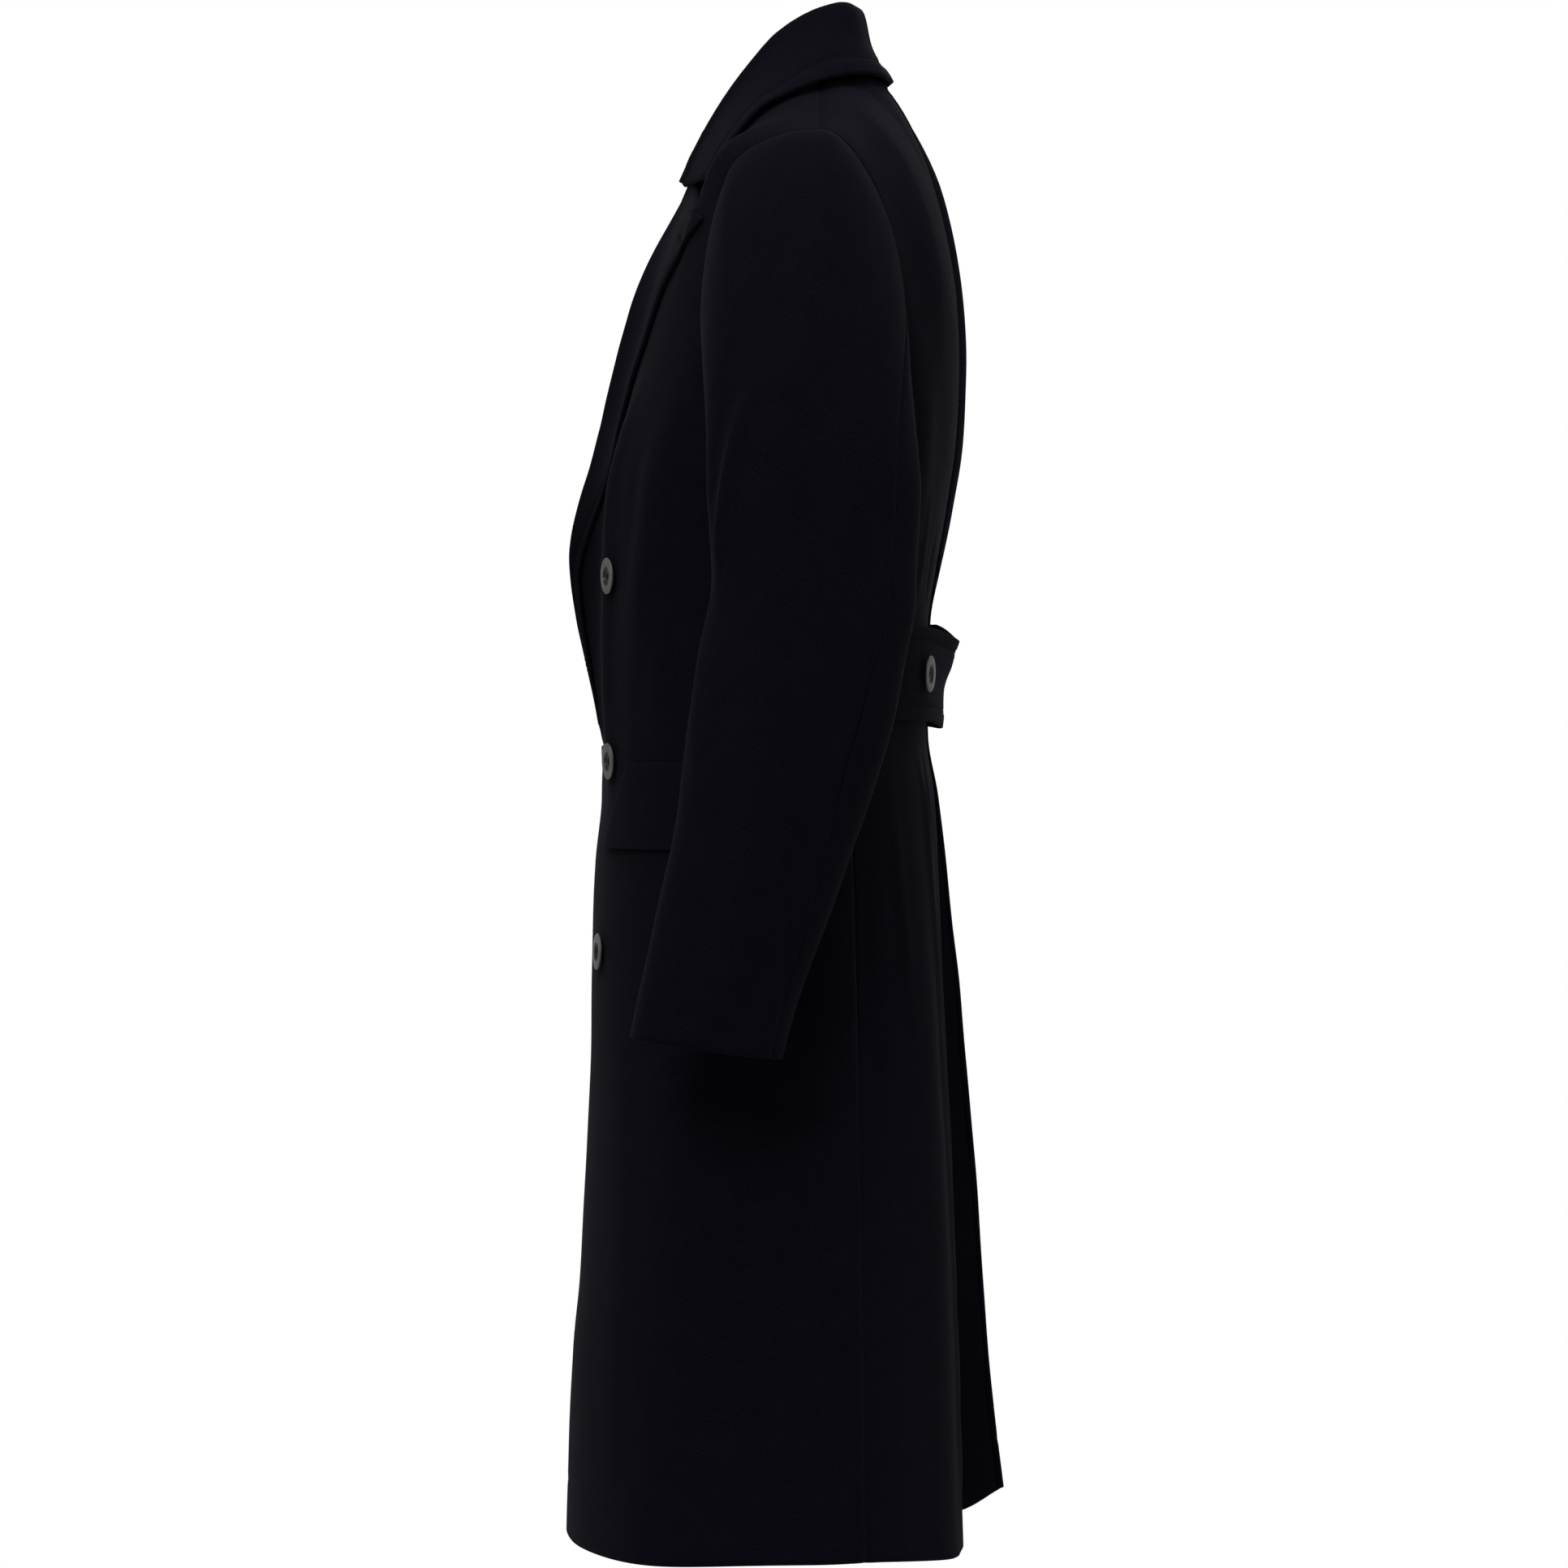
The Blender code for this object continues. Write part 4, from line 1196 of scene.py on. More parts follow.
@dataclass(frozen=True)
class StitchForm:
    """The size of a stitch and the way rows of them are made."""

    length: float = 3.6
    gap: float = 1.2
    radius: float = 0.36
    stand: float = 0.12
    sides: int = 5
    profile: Rows = ((0.0, 0.35), (0.2, 0.95), (0.8, 0.95), (1.0, 0.35))

    def tube(self, ends: tuple[Array, Array], normal: Array, arch: float) -> tuple[Array, Faces]:
        """One stitch as a small closed tube.

        Args:
            ends: Its two ends on the cloth.
            normal: The cloth's normal.
            arch: How far its middle stands off the cloth.

        Returns:
            Its points and faces.
        """
        start, end = ends
        along = unit(end - start)
        across = unit(np.cross(normal, along))
        turns = np.linspace(0, 2 * math.pi, self.sides, endpoint=False)
        points = []
        for share, width in self.profile:
            lift = self.stand + arch * 4 * share * (1 - share)
            middle = start + (end - start) * share + normal * lift
            ring = np.cos(turns)[:, None] * across + np.sin(turns)[:, None] * normal
            points.append(middle + ring * width * self.radius)
        faces = [tuple(range(self.sides))[::-1]]
        rings = len(self.profile)
        for ring in range(rings - 1):
            for corner in range(self.sides):
                low = ring * self.sides + corner
                after = ring * self.sides + (corner + 1) % self.sides
                faces.append((low, after, after + self.sides, low + self.sides))
        faces.append(tuple((rings - 1) * self.sides + corner for corner in range(self.sides)))
        return np.concatenate(points), faces

    def mesh(self, name: str, stitches: Iterable[Stitch]) -> Piece:
        """An object of many stitches.

        Args:
            name: The object's name.
            stitches: Each one's ends, normal and arch.

        Returns:
            The new object, with faces that point outwards.
        """
        points: list[Array] = []
        faces: Faces = []
        count = 0
        for ends, normal, arch in stitches:
            tube, sides = self.tube(ends, normal, arch)
            faces += [tuple(count + corner for corner in face) for face in sides]
            points.append(tube)
            count += len(tube)
        mesh = bpy.data.meshes.new(name)
        mesh.from_pydata((np.concatenate(points) * MM).tolist(), [], faces)
        mesh.shade_smooth()
        piece = bpy.data.objects.new(name, mesh)
        bpy.context.scene.collection.objects.link(piece)
        return piece

    def row(self, line: StitchLine) -> list[Stitch]:
        """The stitches of one row, evenly along a line.

        Args:
            line: Where the row runs.

        Returns:
            The stitches.
        """
        step = self.length + self.gap
        starts = np.arange(0, line.length - self.length, step)
        first, normals = line.at(starts)
        last, _ = line.at(starts + self.length)
        return [((first[i], last[i]), normals[i], 0.0) for i in range(len(starts))]


@dataclass
class Dresser:
    """Gives every new piece its ride and its stand-in."""

    wool: Material
    horn: Material
    # A darker copy of the horn for the buttons' dishes: painted shade for their dark hollows
    dish: Material
    thread: Material

    def sheet(self, sheet: ClothSheet, node: str, held: Held, rests_on: Sequence[str]) -> None:
        """Args:
            sheet: The cloth.
            node: The solid that it stands for.
            held: Not used.
            rests_on: Not used.
        """
        piece = sheet.build(self.wool)
        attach(piece, BODY)
        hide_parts(node)

    def trim(self, piece: Piece, finish: Material, slot: str, node: str = "") -> None:
        """Finishes a piece of trim.

        Args:
            piece: The piece.
            finish: Its material.
            slot: Not used.
            node: The solid that it stands for, if any.
        """
        piece.data.materials.clear()
        piece.data.materials.append(finish)
        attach(piece, BODY)
        if node:
            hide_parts(node)
        LOG.info("%s: %d faces", piece.name, len(piece.data.polygons))


@dataclass
class BodyPanels:
    """The two fronts, the two backs and the inverted pleat between the backs."""

    form: BodyForm
    dresser: Dresser
    cloth: float = 2.5
    seam_gap: float = 0.25
    shoulder_gap: float = 0.35
    armhole_rows: int = 46
    skirt_rows: int = 150
    front_columns: int = 92
    front_crowding: float = 1.2
    back_columns: int = 50
    seam: Groove = Groove(0.0, 0.7, 1.5)
    hem: Groove = Groove(38.0, 0.35, 3.0)
    pleat_half_gap: float = 1.2
    pleat_turn: float = 2.9
    pleat_turn_steps: int = 9
    pleat_open: float = -395.0
    pleat_taper: float = 70.0
    pleat_thinnest: float = 0.02
    pleat_seam_gap: float = -0.35
    pleat_return: float = 52.0
    pleat_layer_gap: float = 2.0
    pleat_edge_gap: float = 0.8
    pleat_top: float = -58.0
    pleat_hem: Rows = ((-4, -1013), (6, -1029), (54, -1043))
    pleat_steps: int = 6

    def rows(self, side: Side, inner: Callable, outer: Callable, shares: Array) -> tuple[Array, Array]:
        """Angles and levels of a panel's grid, from its shoulder to its hem.

        Args:
            side: The half of the coat.
            inner: The angle of the panel's inner edge, by level.
            outer: The angle of its outer edge, by level.
            shares: Where its columns lie between the two.

        Returns:
            The angles and the levels.
        """
        form = self.form
        angles, levels = [], []
        for level in form.armhole_levels(self.armhole_rows):
            angles.append(inner(level) + (outer(level) - inner(level)) * shares)
            levels.append(np.full(len(shares), level))
        for row in range(1, self.skirt_rows + 1):
            guess = form.armpit + (form.hem_start - form.armpit) * row / self.skirt_rows
            angle = inner(guess) + (outer(guess) - inner(guess)) * shares
            hem = form.hem_level.at(side.word, np.degrees(angle))
            angles.append(angle)
            levels.append(form.armpit + (hem - form.armpit) * row / self.skirt_rows)
        return np.array(angles), np.array(levels)

    def seam_turn(self, level: Array) -> Array:
        """A seam's gap as an angle round the body."""
        return self.seam_gap / self.form.section.at("half_width", level)

    def parted(self, grid: Array, facing: float) -> Array:
        """A grid with its shoulder edge drawn back by the gap.

        Args:
            grid: The panel's points.
            facing: 1 towards the front, -1 towards the back.

        Returns:
            The changed copy.
        """
        grid = grid.copy()
        grid[0, :, 1] = grid[0, :, 1] - facing * self.shoulder_gap
        return grid

    def front(self, side: Side) -> ClothSheet:
        """One front, from its wrapped edge and lapel roll to its side seam and armhole.

        Args:
            side: Which front.

        Returns:
            The front's cloth.
        """
        form = self.form

        def inner(level: Array) -> Array:
            """The turned edge."""
            return form.angle_at(form.roll_x(level), level)

        def outer(level: Array) -> Array:
            """The armhole and side seam."""
            return form.armhole_angles(level)[0] - self.seam_turn(level)

        shares = np.linspace(0, 1, self.front_columns + 1) ** self.front_crowding
        angles, levels = self.rows(side, inner, outer, shares)
        grid = self.parted(form.front(side, angles, levels), 1)
        sheet = ClothSheet(f"{side.word}_front_cloth", grid, self.cloth, side is Side.LEFT)
        return self.settled(sheet)

    def back(self, side: Side) -> ClothSheet:
        """One back, from its turned pleat edge to its side seam, armhole, shoulder and neckline.

        Args:
            side: Which back.

        Returns:
            The back's cloth.
        """
        form = self.form

        def inner(level: Array) -> Array:
            """The pleat edge."""
            return math.pi - form.angle_at(self.pleat_half_gap + self.pleat_turn, level)

        def outer(level: Array) -> Array:
            """The armhole and side seam."""
            return form.armhole_angles(level)[1] + self.seam_turn(level)

        angles, levels = self.rows(side, inner, outer, np.linspace(0, 1, self.back_columns + 1))
        across = np.abs(form.back(side, angles, levels)[0, :, 0])
        drop = np.clip(1 - (across / form.neck_x) ** 2, 0, 1) * form.nape_drop
        share = np.linspace(1, 0, self.armhole_rows + 1)[:, None]
        upper = slice(0, self.armhole_rows + 1)
        lowered = np.minimum(levels[upper], -drop * share)
        dip = np.where(np.arange(self.armhole_rows + 1)[:, None] > 0, form.nape_dip, 0)
        levels[upper] = lowered - drop * share * dip
        grid = self.parted(form.back(side, angles, levels), -1)
        sheet = ClothSheet(f"{side.word}_back_cloth", grid, self.cloth, side is Side.RIGHT)
        normal = sheet.normals()[:, 0]
        outward = unit(grid[:, 0] - grid[:, 1])
        # The pleat's edge is pressed thin and sewn shut above the belt, and turns in a full roll below it
        thin = (self.pleat_open - grid[:, 0, 2]) / self.pleat_taper
        thin = np.clip(thin, self.pleat_thinnest, 1)[:, None]
        fold = self.pleat_turn * thin
        lip = self.pleat_seam_gap + (self.pleat_half_gap - self.pleat_seam_gap) * thin
        reach = (np.abs(grid[:, 0, :1]) - lip) / np.abs(outward[:, :1]) - fold
        turned = []
        for turn in np.linspace(-math.pi / 2, math.pi / 2, self.pleat_turn_steps, endpoint=False):
            out = outward * math.cos(turn) + normal * (math.sin(turn) - 1)
            turned.append(grid[:, 0] + fold * out + reach * outward)
        sheet.grid = np.concatenate([np.stack(turned, axis=1), grid], axis=1)
        return self.settled(sheet)

    def settled(self, sheet: ClothSheet) -> ClothSheet:
        """A panel with its unevenness, its seams pressed in and its hem's turning showing through.

        Args:
            sheet: The panel.

        Returns:
            The same panel.
        """
        sheet.unsettle()
        sheet.press(Edge.LAST_COLUMN, self.seam)
        sheet.press(Edge.FIRST_ROW, self.seam)
        sheet.press(Edge.LAST_ROW, self.hem)
        return sheet

    def pleat_points(self, x: Array, depth: Array, kick: Array, level: Array) -> Array:
        """Points of the pleat.

        Args:
            x: Where they lie across the back, towards the wearer's left.
            depth: How far they lie inside the back's outer face.
            kick: The share of the right back's kick that they follow.
            level: Their levels.

        Returns:
            Their places.
        """
        point = self.form.across_back(x, level, -depth)
        point[..., 1] = point[..., 1] + kick * self.form.kicked(np.minimum(x, 0), level)
        return point

    def pleat(self) -> ClothSheet:
        """The inverted pleat: the left return, the underlay and the right return that the kick opens.

        Returns:
            The pleat's cloth.
        """
        form = self.form
        edge = self.cloth + self.pleat_edge_gap
        inset = edge + self.pleat_layer_gap
        deep = inset + self.cloth + self.pleat_layer_gap
        lip = self.pleat_half_gap + self.pleat_turn
        turn = self.pleat_return + self.cloth
        knots = np.array(
            (
                (lip, edge, 0.0),
                (self.pleat_return / 2, inset, 0.0),
                (self.pleat_return, inset, 0.0),
                (turn, deep, 0.0),
                (self.pleat_return / 2, deep + self.cloth, 0.0),
                (lip * 2, deep + self.cloth, 0.0),
                (-lip, edge, 1.0),
            )
        )
        places = np.arange(len(knots))
        along = np.linspace(0, places[-1], self.pleat_steps * places[-1] + 1)
        x, depth, kick = (np.interp(along, places, column) for column in knots.T)
        upper = form.armhole_levels(self.armhole_rows)
        upper = upper[upper <= self.pleat_top]
        hem = Track(("x", "hem"), self.pleat_hem).at("hem", x)
        share = np.linspace(0, 1, self.skirt_rows // 2 + 1)[1:, None]
        lower = form.armpit + (hem - form.armpit) * share
        level = np.concatenate([np.broadcast_to(upper[:, None], (len(upper), len(x))), lower])
        x, depth, kick = (np.broadcast_to(row, level.shape) for row in (x, depth, kick))
        grid = self.pleat_points(x, depth, kick, level)
        return ClothSheet("back_pleat_cloth", grid, self.cloth, False, waver=0)

    def build(self) -> None:
        """Makes the panels and dresses them."""
        for side in Side:
            front, back = self.front(side), self.back(side)
            self.dresser.sheet(front, f"{side.word}_front", Held.HUNG, [f"{side.word}_back_cloth"])
            self.dresser.sheet(back, f"{side.word}_back", Held.HUNG, ["collar_cloth"])
        self.dresser.sheet(self.pleat(), "back_pleat", Held.FOLDED, ["left_back_cloth", "right_back_cloth"])


@dataclass
class Sleeves:
    """The two set-in sleeves, each of a top and an under piece."""

    body: BodyForm
    form: SleeveForm
    dresser: Dresser
    cloth: float = 2.5
    armhole_gap: float = -0.8
    seam_gap: float = 0.3
    steps: int = 48
    front_seam_step: int = 32
    back_seam_step: int = 24
    cap_rows: int = 30
    arm_rows: int = 66
    cap_drop: float = 0.5
    cap_flare: float = 0.22
    cap_pull: float = 0.8
    seam: Groove = Groove(0.0, 0.8, 2.2)
    cuff: Groove = Groove(42.0, 0.3, 3.0)

    def armhole(self, side: Side) -> Array:
        """The armhole's points, from the shoulder down the front to the armpit and up the back.

        Args:
            side: Which armhole.

        Returns:
            The points in order.
        """
        levels = self.body.armhole_levels(self.steps)
        front_edge, back_edge = self.body.armhole_angles(levels)
        down = self.body.front(side, front_edge, levels)
        up = self.body.back(side, back_edge, levels)[::-1]
        loop = np.concatenate([down, up[1:-1]])
        loop[:, 0] = loop[:, 0] + side.value * self.armhole_gap
        return loop

    def piece(self, side: Side, name: str, ends: tuple[int, int], seams: tuple[str, str]) -> ClothSheet:
        """One piece of a sleeve.

        Args:
            side: Which sleeve.
            name: The sheet's name.
            ends: The armhole steps between which it is set in.
            seams: The sleeve seams between which it lies.

        Returns:
            The piece, from the armhole to the cuff.
        """
        loop = self.armhole(side)
        steps = np.arange(ends[0], ends[1] + 1)
        start = loop[steps % len(loop)]
        share = (steps - ends[0]) / (ends[1] - ends[0])
        outward = np.array([side.value, 0, -self.cap_drop])
        leave = self.cap_pull * unit(outward + self.cap_flare * unit(start - loop.mean(axis=0)))
        join_degrees = self.form.ring_degrees(self.form.join_z, share, seams)
        join = self.form.point(side, join_degrees, self.form.join_z)
        length = np.linalg.norm(join - start, axis=1, keepdims=True)
        arrive = np.array([0, 0, -1.0])
        rows, degrees = [], []
        for row in range(self.cap_rows):
            t = row / self.cap_rows
            ahead = t * (1 - t) ** 2 * length * leave + t * t * (t - 1) * length * arrive
            rows.append((1 + 2 * t) * (1 - t) ** 2 * start + t * t * (3 - 2 * t) * join + ahead)
            degrees.append(join_degrees)
        for row in range(self.arm_rows + 1):
            z = self.form.join_z + (self.form.cuff_z - self.form.join_z) * row / self.arm_rows
            degrees.append(self.form.ring_degrees(z, share, seams))
            rows.append(self.form.point(side, degrees[-1], z))
        grid = np.array(rows)
        for edge, inner in ((0, 1), (-1, -2)):
            grid[:, edge] = grid[:, edge] + self.seam_gap * unit(grid[:, inner] - grid[:, edge])
        sheet = ClothSheet(name, grid, self.cloth, side is Side.RIGHT)
        sheet.lift(self.form.creased(side, np.array(degrees), grid[..., 2]))
        sheet.unsettle()
        for edge in (Edge.FIRST_COLUMN, Edge.LAST_COLUMN):
            sheet.press(edge, self.seam)
        sheet.press(Edge.LAST_ROW, self.cuff)
        return sheet

    def build(self) -> None:
        """Makes both sleeves and dresses them."""
        top = (-self.back_seam_step, self.front_seam_step)
        under = (self.front_seam_step, 2 * self.steps - self.back_seam_step)
        for side in Side:
            rests_on = [f"{side.word}_front_cloth", f"{side.word}_back_cloth"]
            upper = self.piece(side, f"{side.word}_top_sleeve_cloth", top, ("back", "front"))
            lower = self.piece(side, f"{side.word}_under_sleeve_cloth", under, ("front", "back"))
            self.dresser.sheet(upper, f"{side.word}_top_sleeve", Held.HUNG, rests_on)
            self.dresser.sheet(lower, f"{side.word}_under_sleeve", Held.HUNG, rests_on)


@dataclass
class Lapels:
    """The two lapels: facings that wrap round the fronts' turned edges and lie folded back on the chest."""

    form: BodyForm
    dresser: Dresser
    cloth: float = 3.0
    front_cloth: float = 2.5
    behind_gap: float = 0.5
    left_gap: float = 1.2
    right_gap: float = 3.0
    start: float = 6.0
    gorge_level: float = -50.0
    tip_level: float = -67.0
    rows: int = 110
    columns: int = 36
    turn_steps: int = 12
    behind: tuple[float, ...] = (14.0, 9.0, 4.0)
    merge: float = 0.16
    merge_height: float = 0.5
    stitching: Groove = Groove(6.0, 0.9, 1.9)
    edge: Rows = ((0, -92), (0.2, -64), (0.415, -12), (0.549, 43), (0.733, 86), (0.889, 132), (1, 196))
    sheets: dict[Side, ClothSheet] = field(default_factory=dict)

    def sheet(self, side: Side) -> ClothSheet:
        """One lapel, as rows from its break up to its gorge.

        Args:
            side: Which lapel.

        Returns:
            The lapel's cloth.
        """
        form = self.form
        share = np.linspace(0, 1, self.rows + 1)
        start = form.break_level + self.start
        roll_level = start + (self.gorge_level - start) * share
        edge_level = start + (self.tip_level - start) * share
        from_x = form.roll_x(roll_level)
        to_x = np.maximum(Track(("share", "x"), self.edge).at("x", share), from_x + self.start / 2)
        part = np.linspace(0, 1, self.columns + 1)
        level = roll_level[:, None] + (edge_level - roll_level)[:, None] * part
        x = from_x[:, None] + (to_x - from_x)[:, None] * part
        merged = eased(share / self.merge)
        gap = self.left_gap if side is Side.LEFT else self.right_gap
        top = self.merge_height + (gap + self.cloth - self.merge_height) * merged
        angle = form.angle_at(x, level)
        height = np.broadcast_to(top[:, None], x.shape)
        face = form.moved_out(form.front, side, angle, level, height)
        edge = form.front(side, angle[:, 0], level[:, 0])
        normal = unit(form.front_normal(side, angle[:, 0], level[:, 0]))
        outward = unit(np.cross(normal, np.gradient(edge, axis=0)))
        outward = outward * np.sign((outward * (edge - face[:, -1])).sum(axis=1))[:, None]
        radius = (top + self.front_cloth + self.behind_gap + self.cloth * merged) / 2
        turned = []
        for back in self.behind:
            turned.append(edge + normal * (top - 2 * radius)[:, None] - outward * back * merged[:, None])
        for turn in np.linspace(-math.pi / 2, math.pi / 2, self.turn_steps, endpoint=False):
            out = radius * math.cos(turn)
            up = top - radius + radius * math.sin(turn)
            turned.append(edge + outward * out[:, None] + normal * up[:, None])
        grid = np.concatenate([np.stack(turned, axis=1), face], axis=1)
        sheet = ClothSheet(f"{side.word}_lapel_cloth", grid, self.cloth, side is Side.RIGHT)
        sheet.unsettle()
        sheet.press(Edge.LAST_COLUMN, self.stitching)
        sheet.press(Edge.LAST_ROW, self.stitching)
        return sheet

    def build(self) -> None:
        """Makes both lapels and dresses them."""
        for side in Side:
            self.sheets[side] = self.sheet(side)
            rests_on = [f"{side.word}_front_cloth"]
            self.dresser.sheet(self.sheets[side], f"{side.word}_lapel", Held.FOLDED, rests_on)


@dataclass
class Collar:
    """The turned-down collar: the stand inside, the roll at its crest and the fall outside."""

    form: BodyForm
    dresser: Dresser
    cloth: float = 3.0
    roll: float = 6.0
    fall_start: float = 0.7
    seam_rise: float = -4.0
    step_in: float = 4.6
    end_step_in: float = 4.0
    nape_share: float = 0.42
    neck_axis_y: float = -22.0
    half_rows: int = 56
    columns: int = 44
    stitching: Groove = Groove(17.0, 1.2, 2.6)
    puff: Groove = Groove(8.0, -0.8, 6.5)
    stations: Rows = (
        (0, 0, 29, 123, 0, 58, 65, -5),
        (0.18, 38, 19, 121, 44, 50, 64, -4),
        (0.34, 58, -4, 112, 82, 29, 61, 1),
        (0.48, 64, -30, 95, 113, 3, 53, 5),
        (0.60, 66, -50, 73, 129, -16, 44, 6),
        (0.74, 67, -72, 43, 140, -41, 31, 6),
        (0.88, 69, -91, 11, 147, -65, 3, 6),
        (1, 75, -104, -19, 145, -82, -24, 6),
    )
    made: ClothSheet | None = None

    def section(self, track: Track, station: float) -> Array:
        """One section of the collar, from its seam over its crest to its edge.

        Args:
            track: The collar's crest and edge.
            station: The share of the way from the nape to the collar's end.

        Returns:
            The section's points.
        """
        down = np.array([0, 0, -1.0])
        seam = self.form.neck_seam(station, self.nape_share)
        towards = np.array([0, self.neck_axis_y, 0]) - seam
        towards[2] = 0
        base = seam + (self.step_in + self.end_step_in * eased(station)) * unit(towards)
        base[2] = seam[2] + self.seam_rise
        crest = np.array([track.at(f"crest_{axis}", station) for axis in "xyz"])
        edge = np.array([track.at(f"edge_{axis}", station) for axis in "xyz"])
        out = edge - crest
        out[2] = 0
        out = unit(out)
        inner = crest - self.roll * out + self.roll * (1 - station**2) * down
        outer = crest + self.roll * out + self.fall_start * self.roll * down
        belly = (outer + edge) / 2 + track.at("bulge", station) * out
        knots = np.array([base, (base + inner) / 2, inner, crest, outer, belly, edge])
        length = arcs(knots[:, None], 0)[:, 0]
        curve = Track(("length", "x", "y", "z"), np.column_stack([length, knots]).tolist())
        places = np.linspace(0, length[-1], self.columns + 1)
        return np.stack([curve.at(axis, places) for axis in "xyz"], axis=-1)

    def build(self) -> None:
        """Makes the collar and dresses it."""
        names = ("station", "crest_x", "crest_y", "crest_z", "edge_x", "edge_y", "edge_z", "bulge")
        track = Track(names, self.stations)
        half = np.array([self.section(track, station) for station in np.linspace(0, 1, self.half_rows + 1)])
        grid = np.concatenate([half[:0:-1] * np.array([-1, 1, 1]), half])
        sheet = ClothSheet("collar_cloth", grid, self.cloth, True)
        sheet.unsettle()
        sheet.press(Edge.LAST_COLUMN, self.puff)
        sheet.press(Edge.LAST_COLUMN, self.stitching)
        self.made = sheet
        self.dresser.sheet(sheet, "collar", Held.FOLDED, ["left_back_cloth", "right_back_cloth"])


@dataclass
class PocketFlaps:
    """The two pocket flaps, each with a slanted front edge and rounded lower corners."""

    form: BodyForm
    dresser: Dresser
    cloth: float = 3.0
    top: float = -457.0
    gap: float = 1.3
    drop: float = 64.0
    front_x: float = 156.0
    slant: float = 44.0
    back_degrees: float = 84.0
    corner: float = 12.0
    crowding: float = 1.5
    seam: Groove = Groove(0.0, 1.6, 4.0)
    rows: int = 30
    columns: int = 52

    def sheet(self, side: Side) -> ClothSheet:
        """One flap, as rows from its seam down to its edge.

        Args:
            side: Which flap.

        Returns:
            The flap's cloth.
        """
        down = 1 - (1 - np.linspace(0, 1, self.rows + 1)) ** self.crowding
        level = self.top - self.drop * down
        into = np.clip(self.corner - self.drop * (1 - down), 0, self.corner)
        round_in = self.corner - np.sqrt(self.corner**2 - into**2)
        start = self.form.angle_at(self.front_x - self.slant * down + round_in, level)
        end = math.radians(self.back_degrees) - round_in / self.form.section.at("half_width", level)
        share = np.linspace(0, 1, self.columns + 1)
        angle = start[:, None] + (end - start)[:, None] * share
        levels = np.broadcast_to(level[:, None], angle.shape)
        height = np.full(angle.shape, self.gap + self.cloth)
        grid = self.form.moved_out(self.form.front, side, angle, levels, height)
        sheet = ClothSheet(f"{side.word}_flap_cloth", grid, self.cloth, side is Side.LEFT)
        sheet.unsettle()
        sheet.press(Edge.FIRST_ROW, self.seam)
        return sheet

    def build(self) -> None:
        """Makes both flaps and dresses them."""
        for side in Side:
            node = f"{side.word}_pocket_flap"
            self.dresser.sheet(self.sheet(side), node, Held.LAID, [f"{side.word}_front_cloth"])


@dataclass
class HalfBelt:
    """The half belt across the back waist, standing off the pleat in the middle and buttoned at both ends."""

    form: BodyForm
    dresser: Dresser
    cloth: float = 3.0
    top: float = -356.0
    bottom: float = -430.0
    half_length: float = 200.0
    gap: float = 2.3
    ease: float = 3.6
    stand: Rows = (
        (0, 4.1), (0.16, 5.2), (0.26, 4.6), (0.42, 5.0),
        (0.55, 7.0), (0.69, 10.5), (0.83, 12.9), (1, 16.3),
    )
    reach: float = 75.0
    far_reach: float = 98.0
    far_rise: float = 11.0
    button_x: float = 131.0
    sag: float = 7.0
    lift_ends: float = 4.5
    rows: int = 36
    columns: int = 150
    top_stitching: Groove = Groove(9.0, 0.9, 2.0)
    bottom_stitching: Groove = Groove(12.0, 0.9, 2.0)
    made: ClothSheet | None = None

    def points(self, x: Array, level: Array) -> Array:
        """Places on the belt's outer face.

        Args:
            x: Places across the back, towards the wearer's left.
            level: Their levels.

        Returns:
            The points.
        """
        share = (level - self.bottom) / (self.top - self.bottom)
        middle = np.exp(-((x / np.where(x > 0, self.reach, self.far_reach)) ** 2))
        lowered = level - self.sag * middle * share + self.lift_ends * (1 - middle) * (1 - share)
        lowered = lowered + self.far_rise * eased(-x / self.far_reach) * share
        stand = Track(("share", "stand"), self.stand).at("stand", share)
        near = eased((self.half_length - np.abs(x)) / (self.half_length - self.button_x))
        height = self.gap + self.cloth + self.ease * near + stand * middle
        return self.form.across_back(x, lowered, height)

    def build(self) -> None:
        """Makes the belt and dresses it."""
        x, level = np.meshgrid(
            np.linspace(-self.half_length, self.half_length, self.columns + 1),
            np.linspace(self.top, self.bottom, self.rows + 1),
        )
        sheet = ClothSheet("half_belt_cloth", self.points(x, level), self.cloth, False)
        sheet.unsettle()
        sheet.press(Edge.FIRST_ROW, self.top_stitching)
        sheet.press(Edge.LAST_ROW, self.bottom_stitching)
        self.made = sheet
        self.dresser.sheet(sheet, "half_belt", Held.LAID, ["left_back_cloth", "right_back_cloth"])


def pick_only(piece: Piece) -> None:
    """Makes a piece the only one selected, and the active one.

    Args:
        piece: The piece.
    """
    bpy.ops.object.select_all(action="DESELECT")
    piece.select_set(True)
    bpy.context.view_layer.objects.active = piece


@dataclass(frozen=True)
class Fastening:
    """A front button: its solid, its column, the front that carries it, and how it is set there."""

    node: str
    column: Side
    carrier: Side
    x: float
    level: float
    stand: float
    tilt: float = 0.0


@dataclass(frozen=True)
class Seat:
    """Where a button sits: the solid it stands for, the place and the way it faces."""

    node: str
    place: Array
    normal: Array


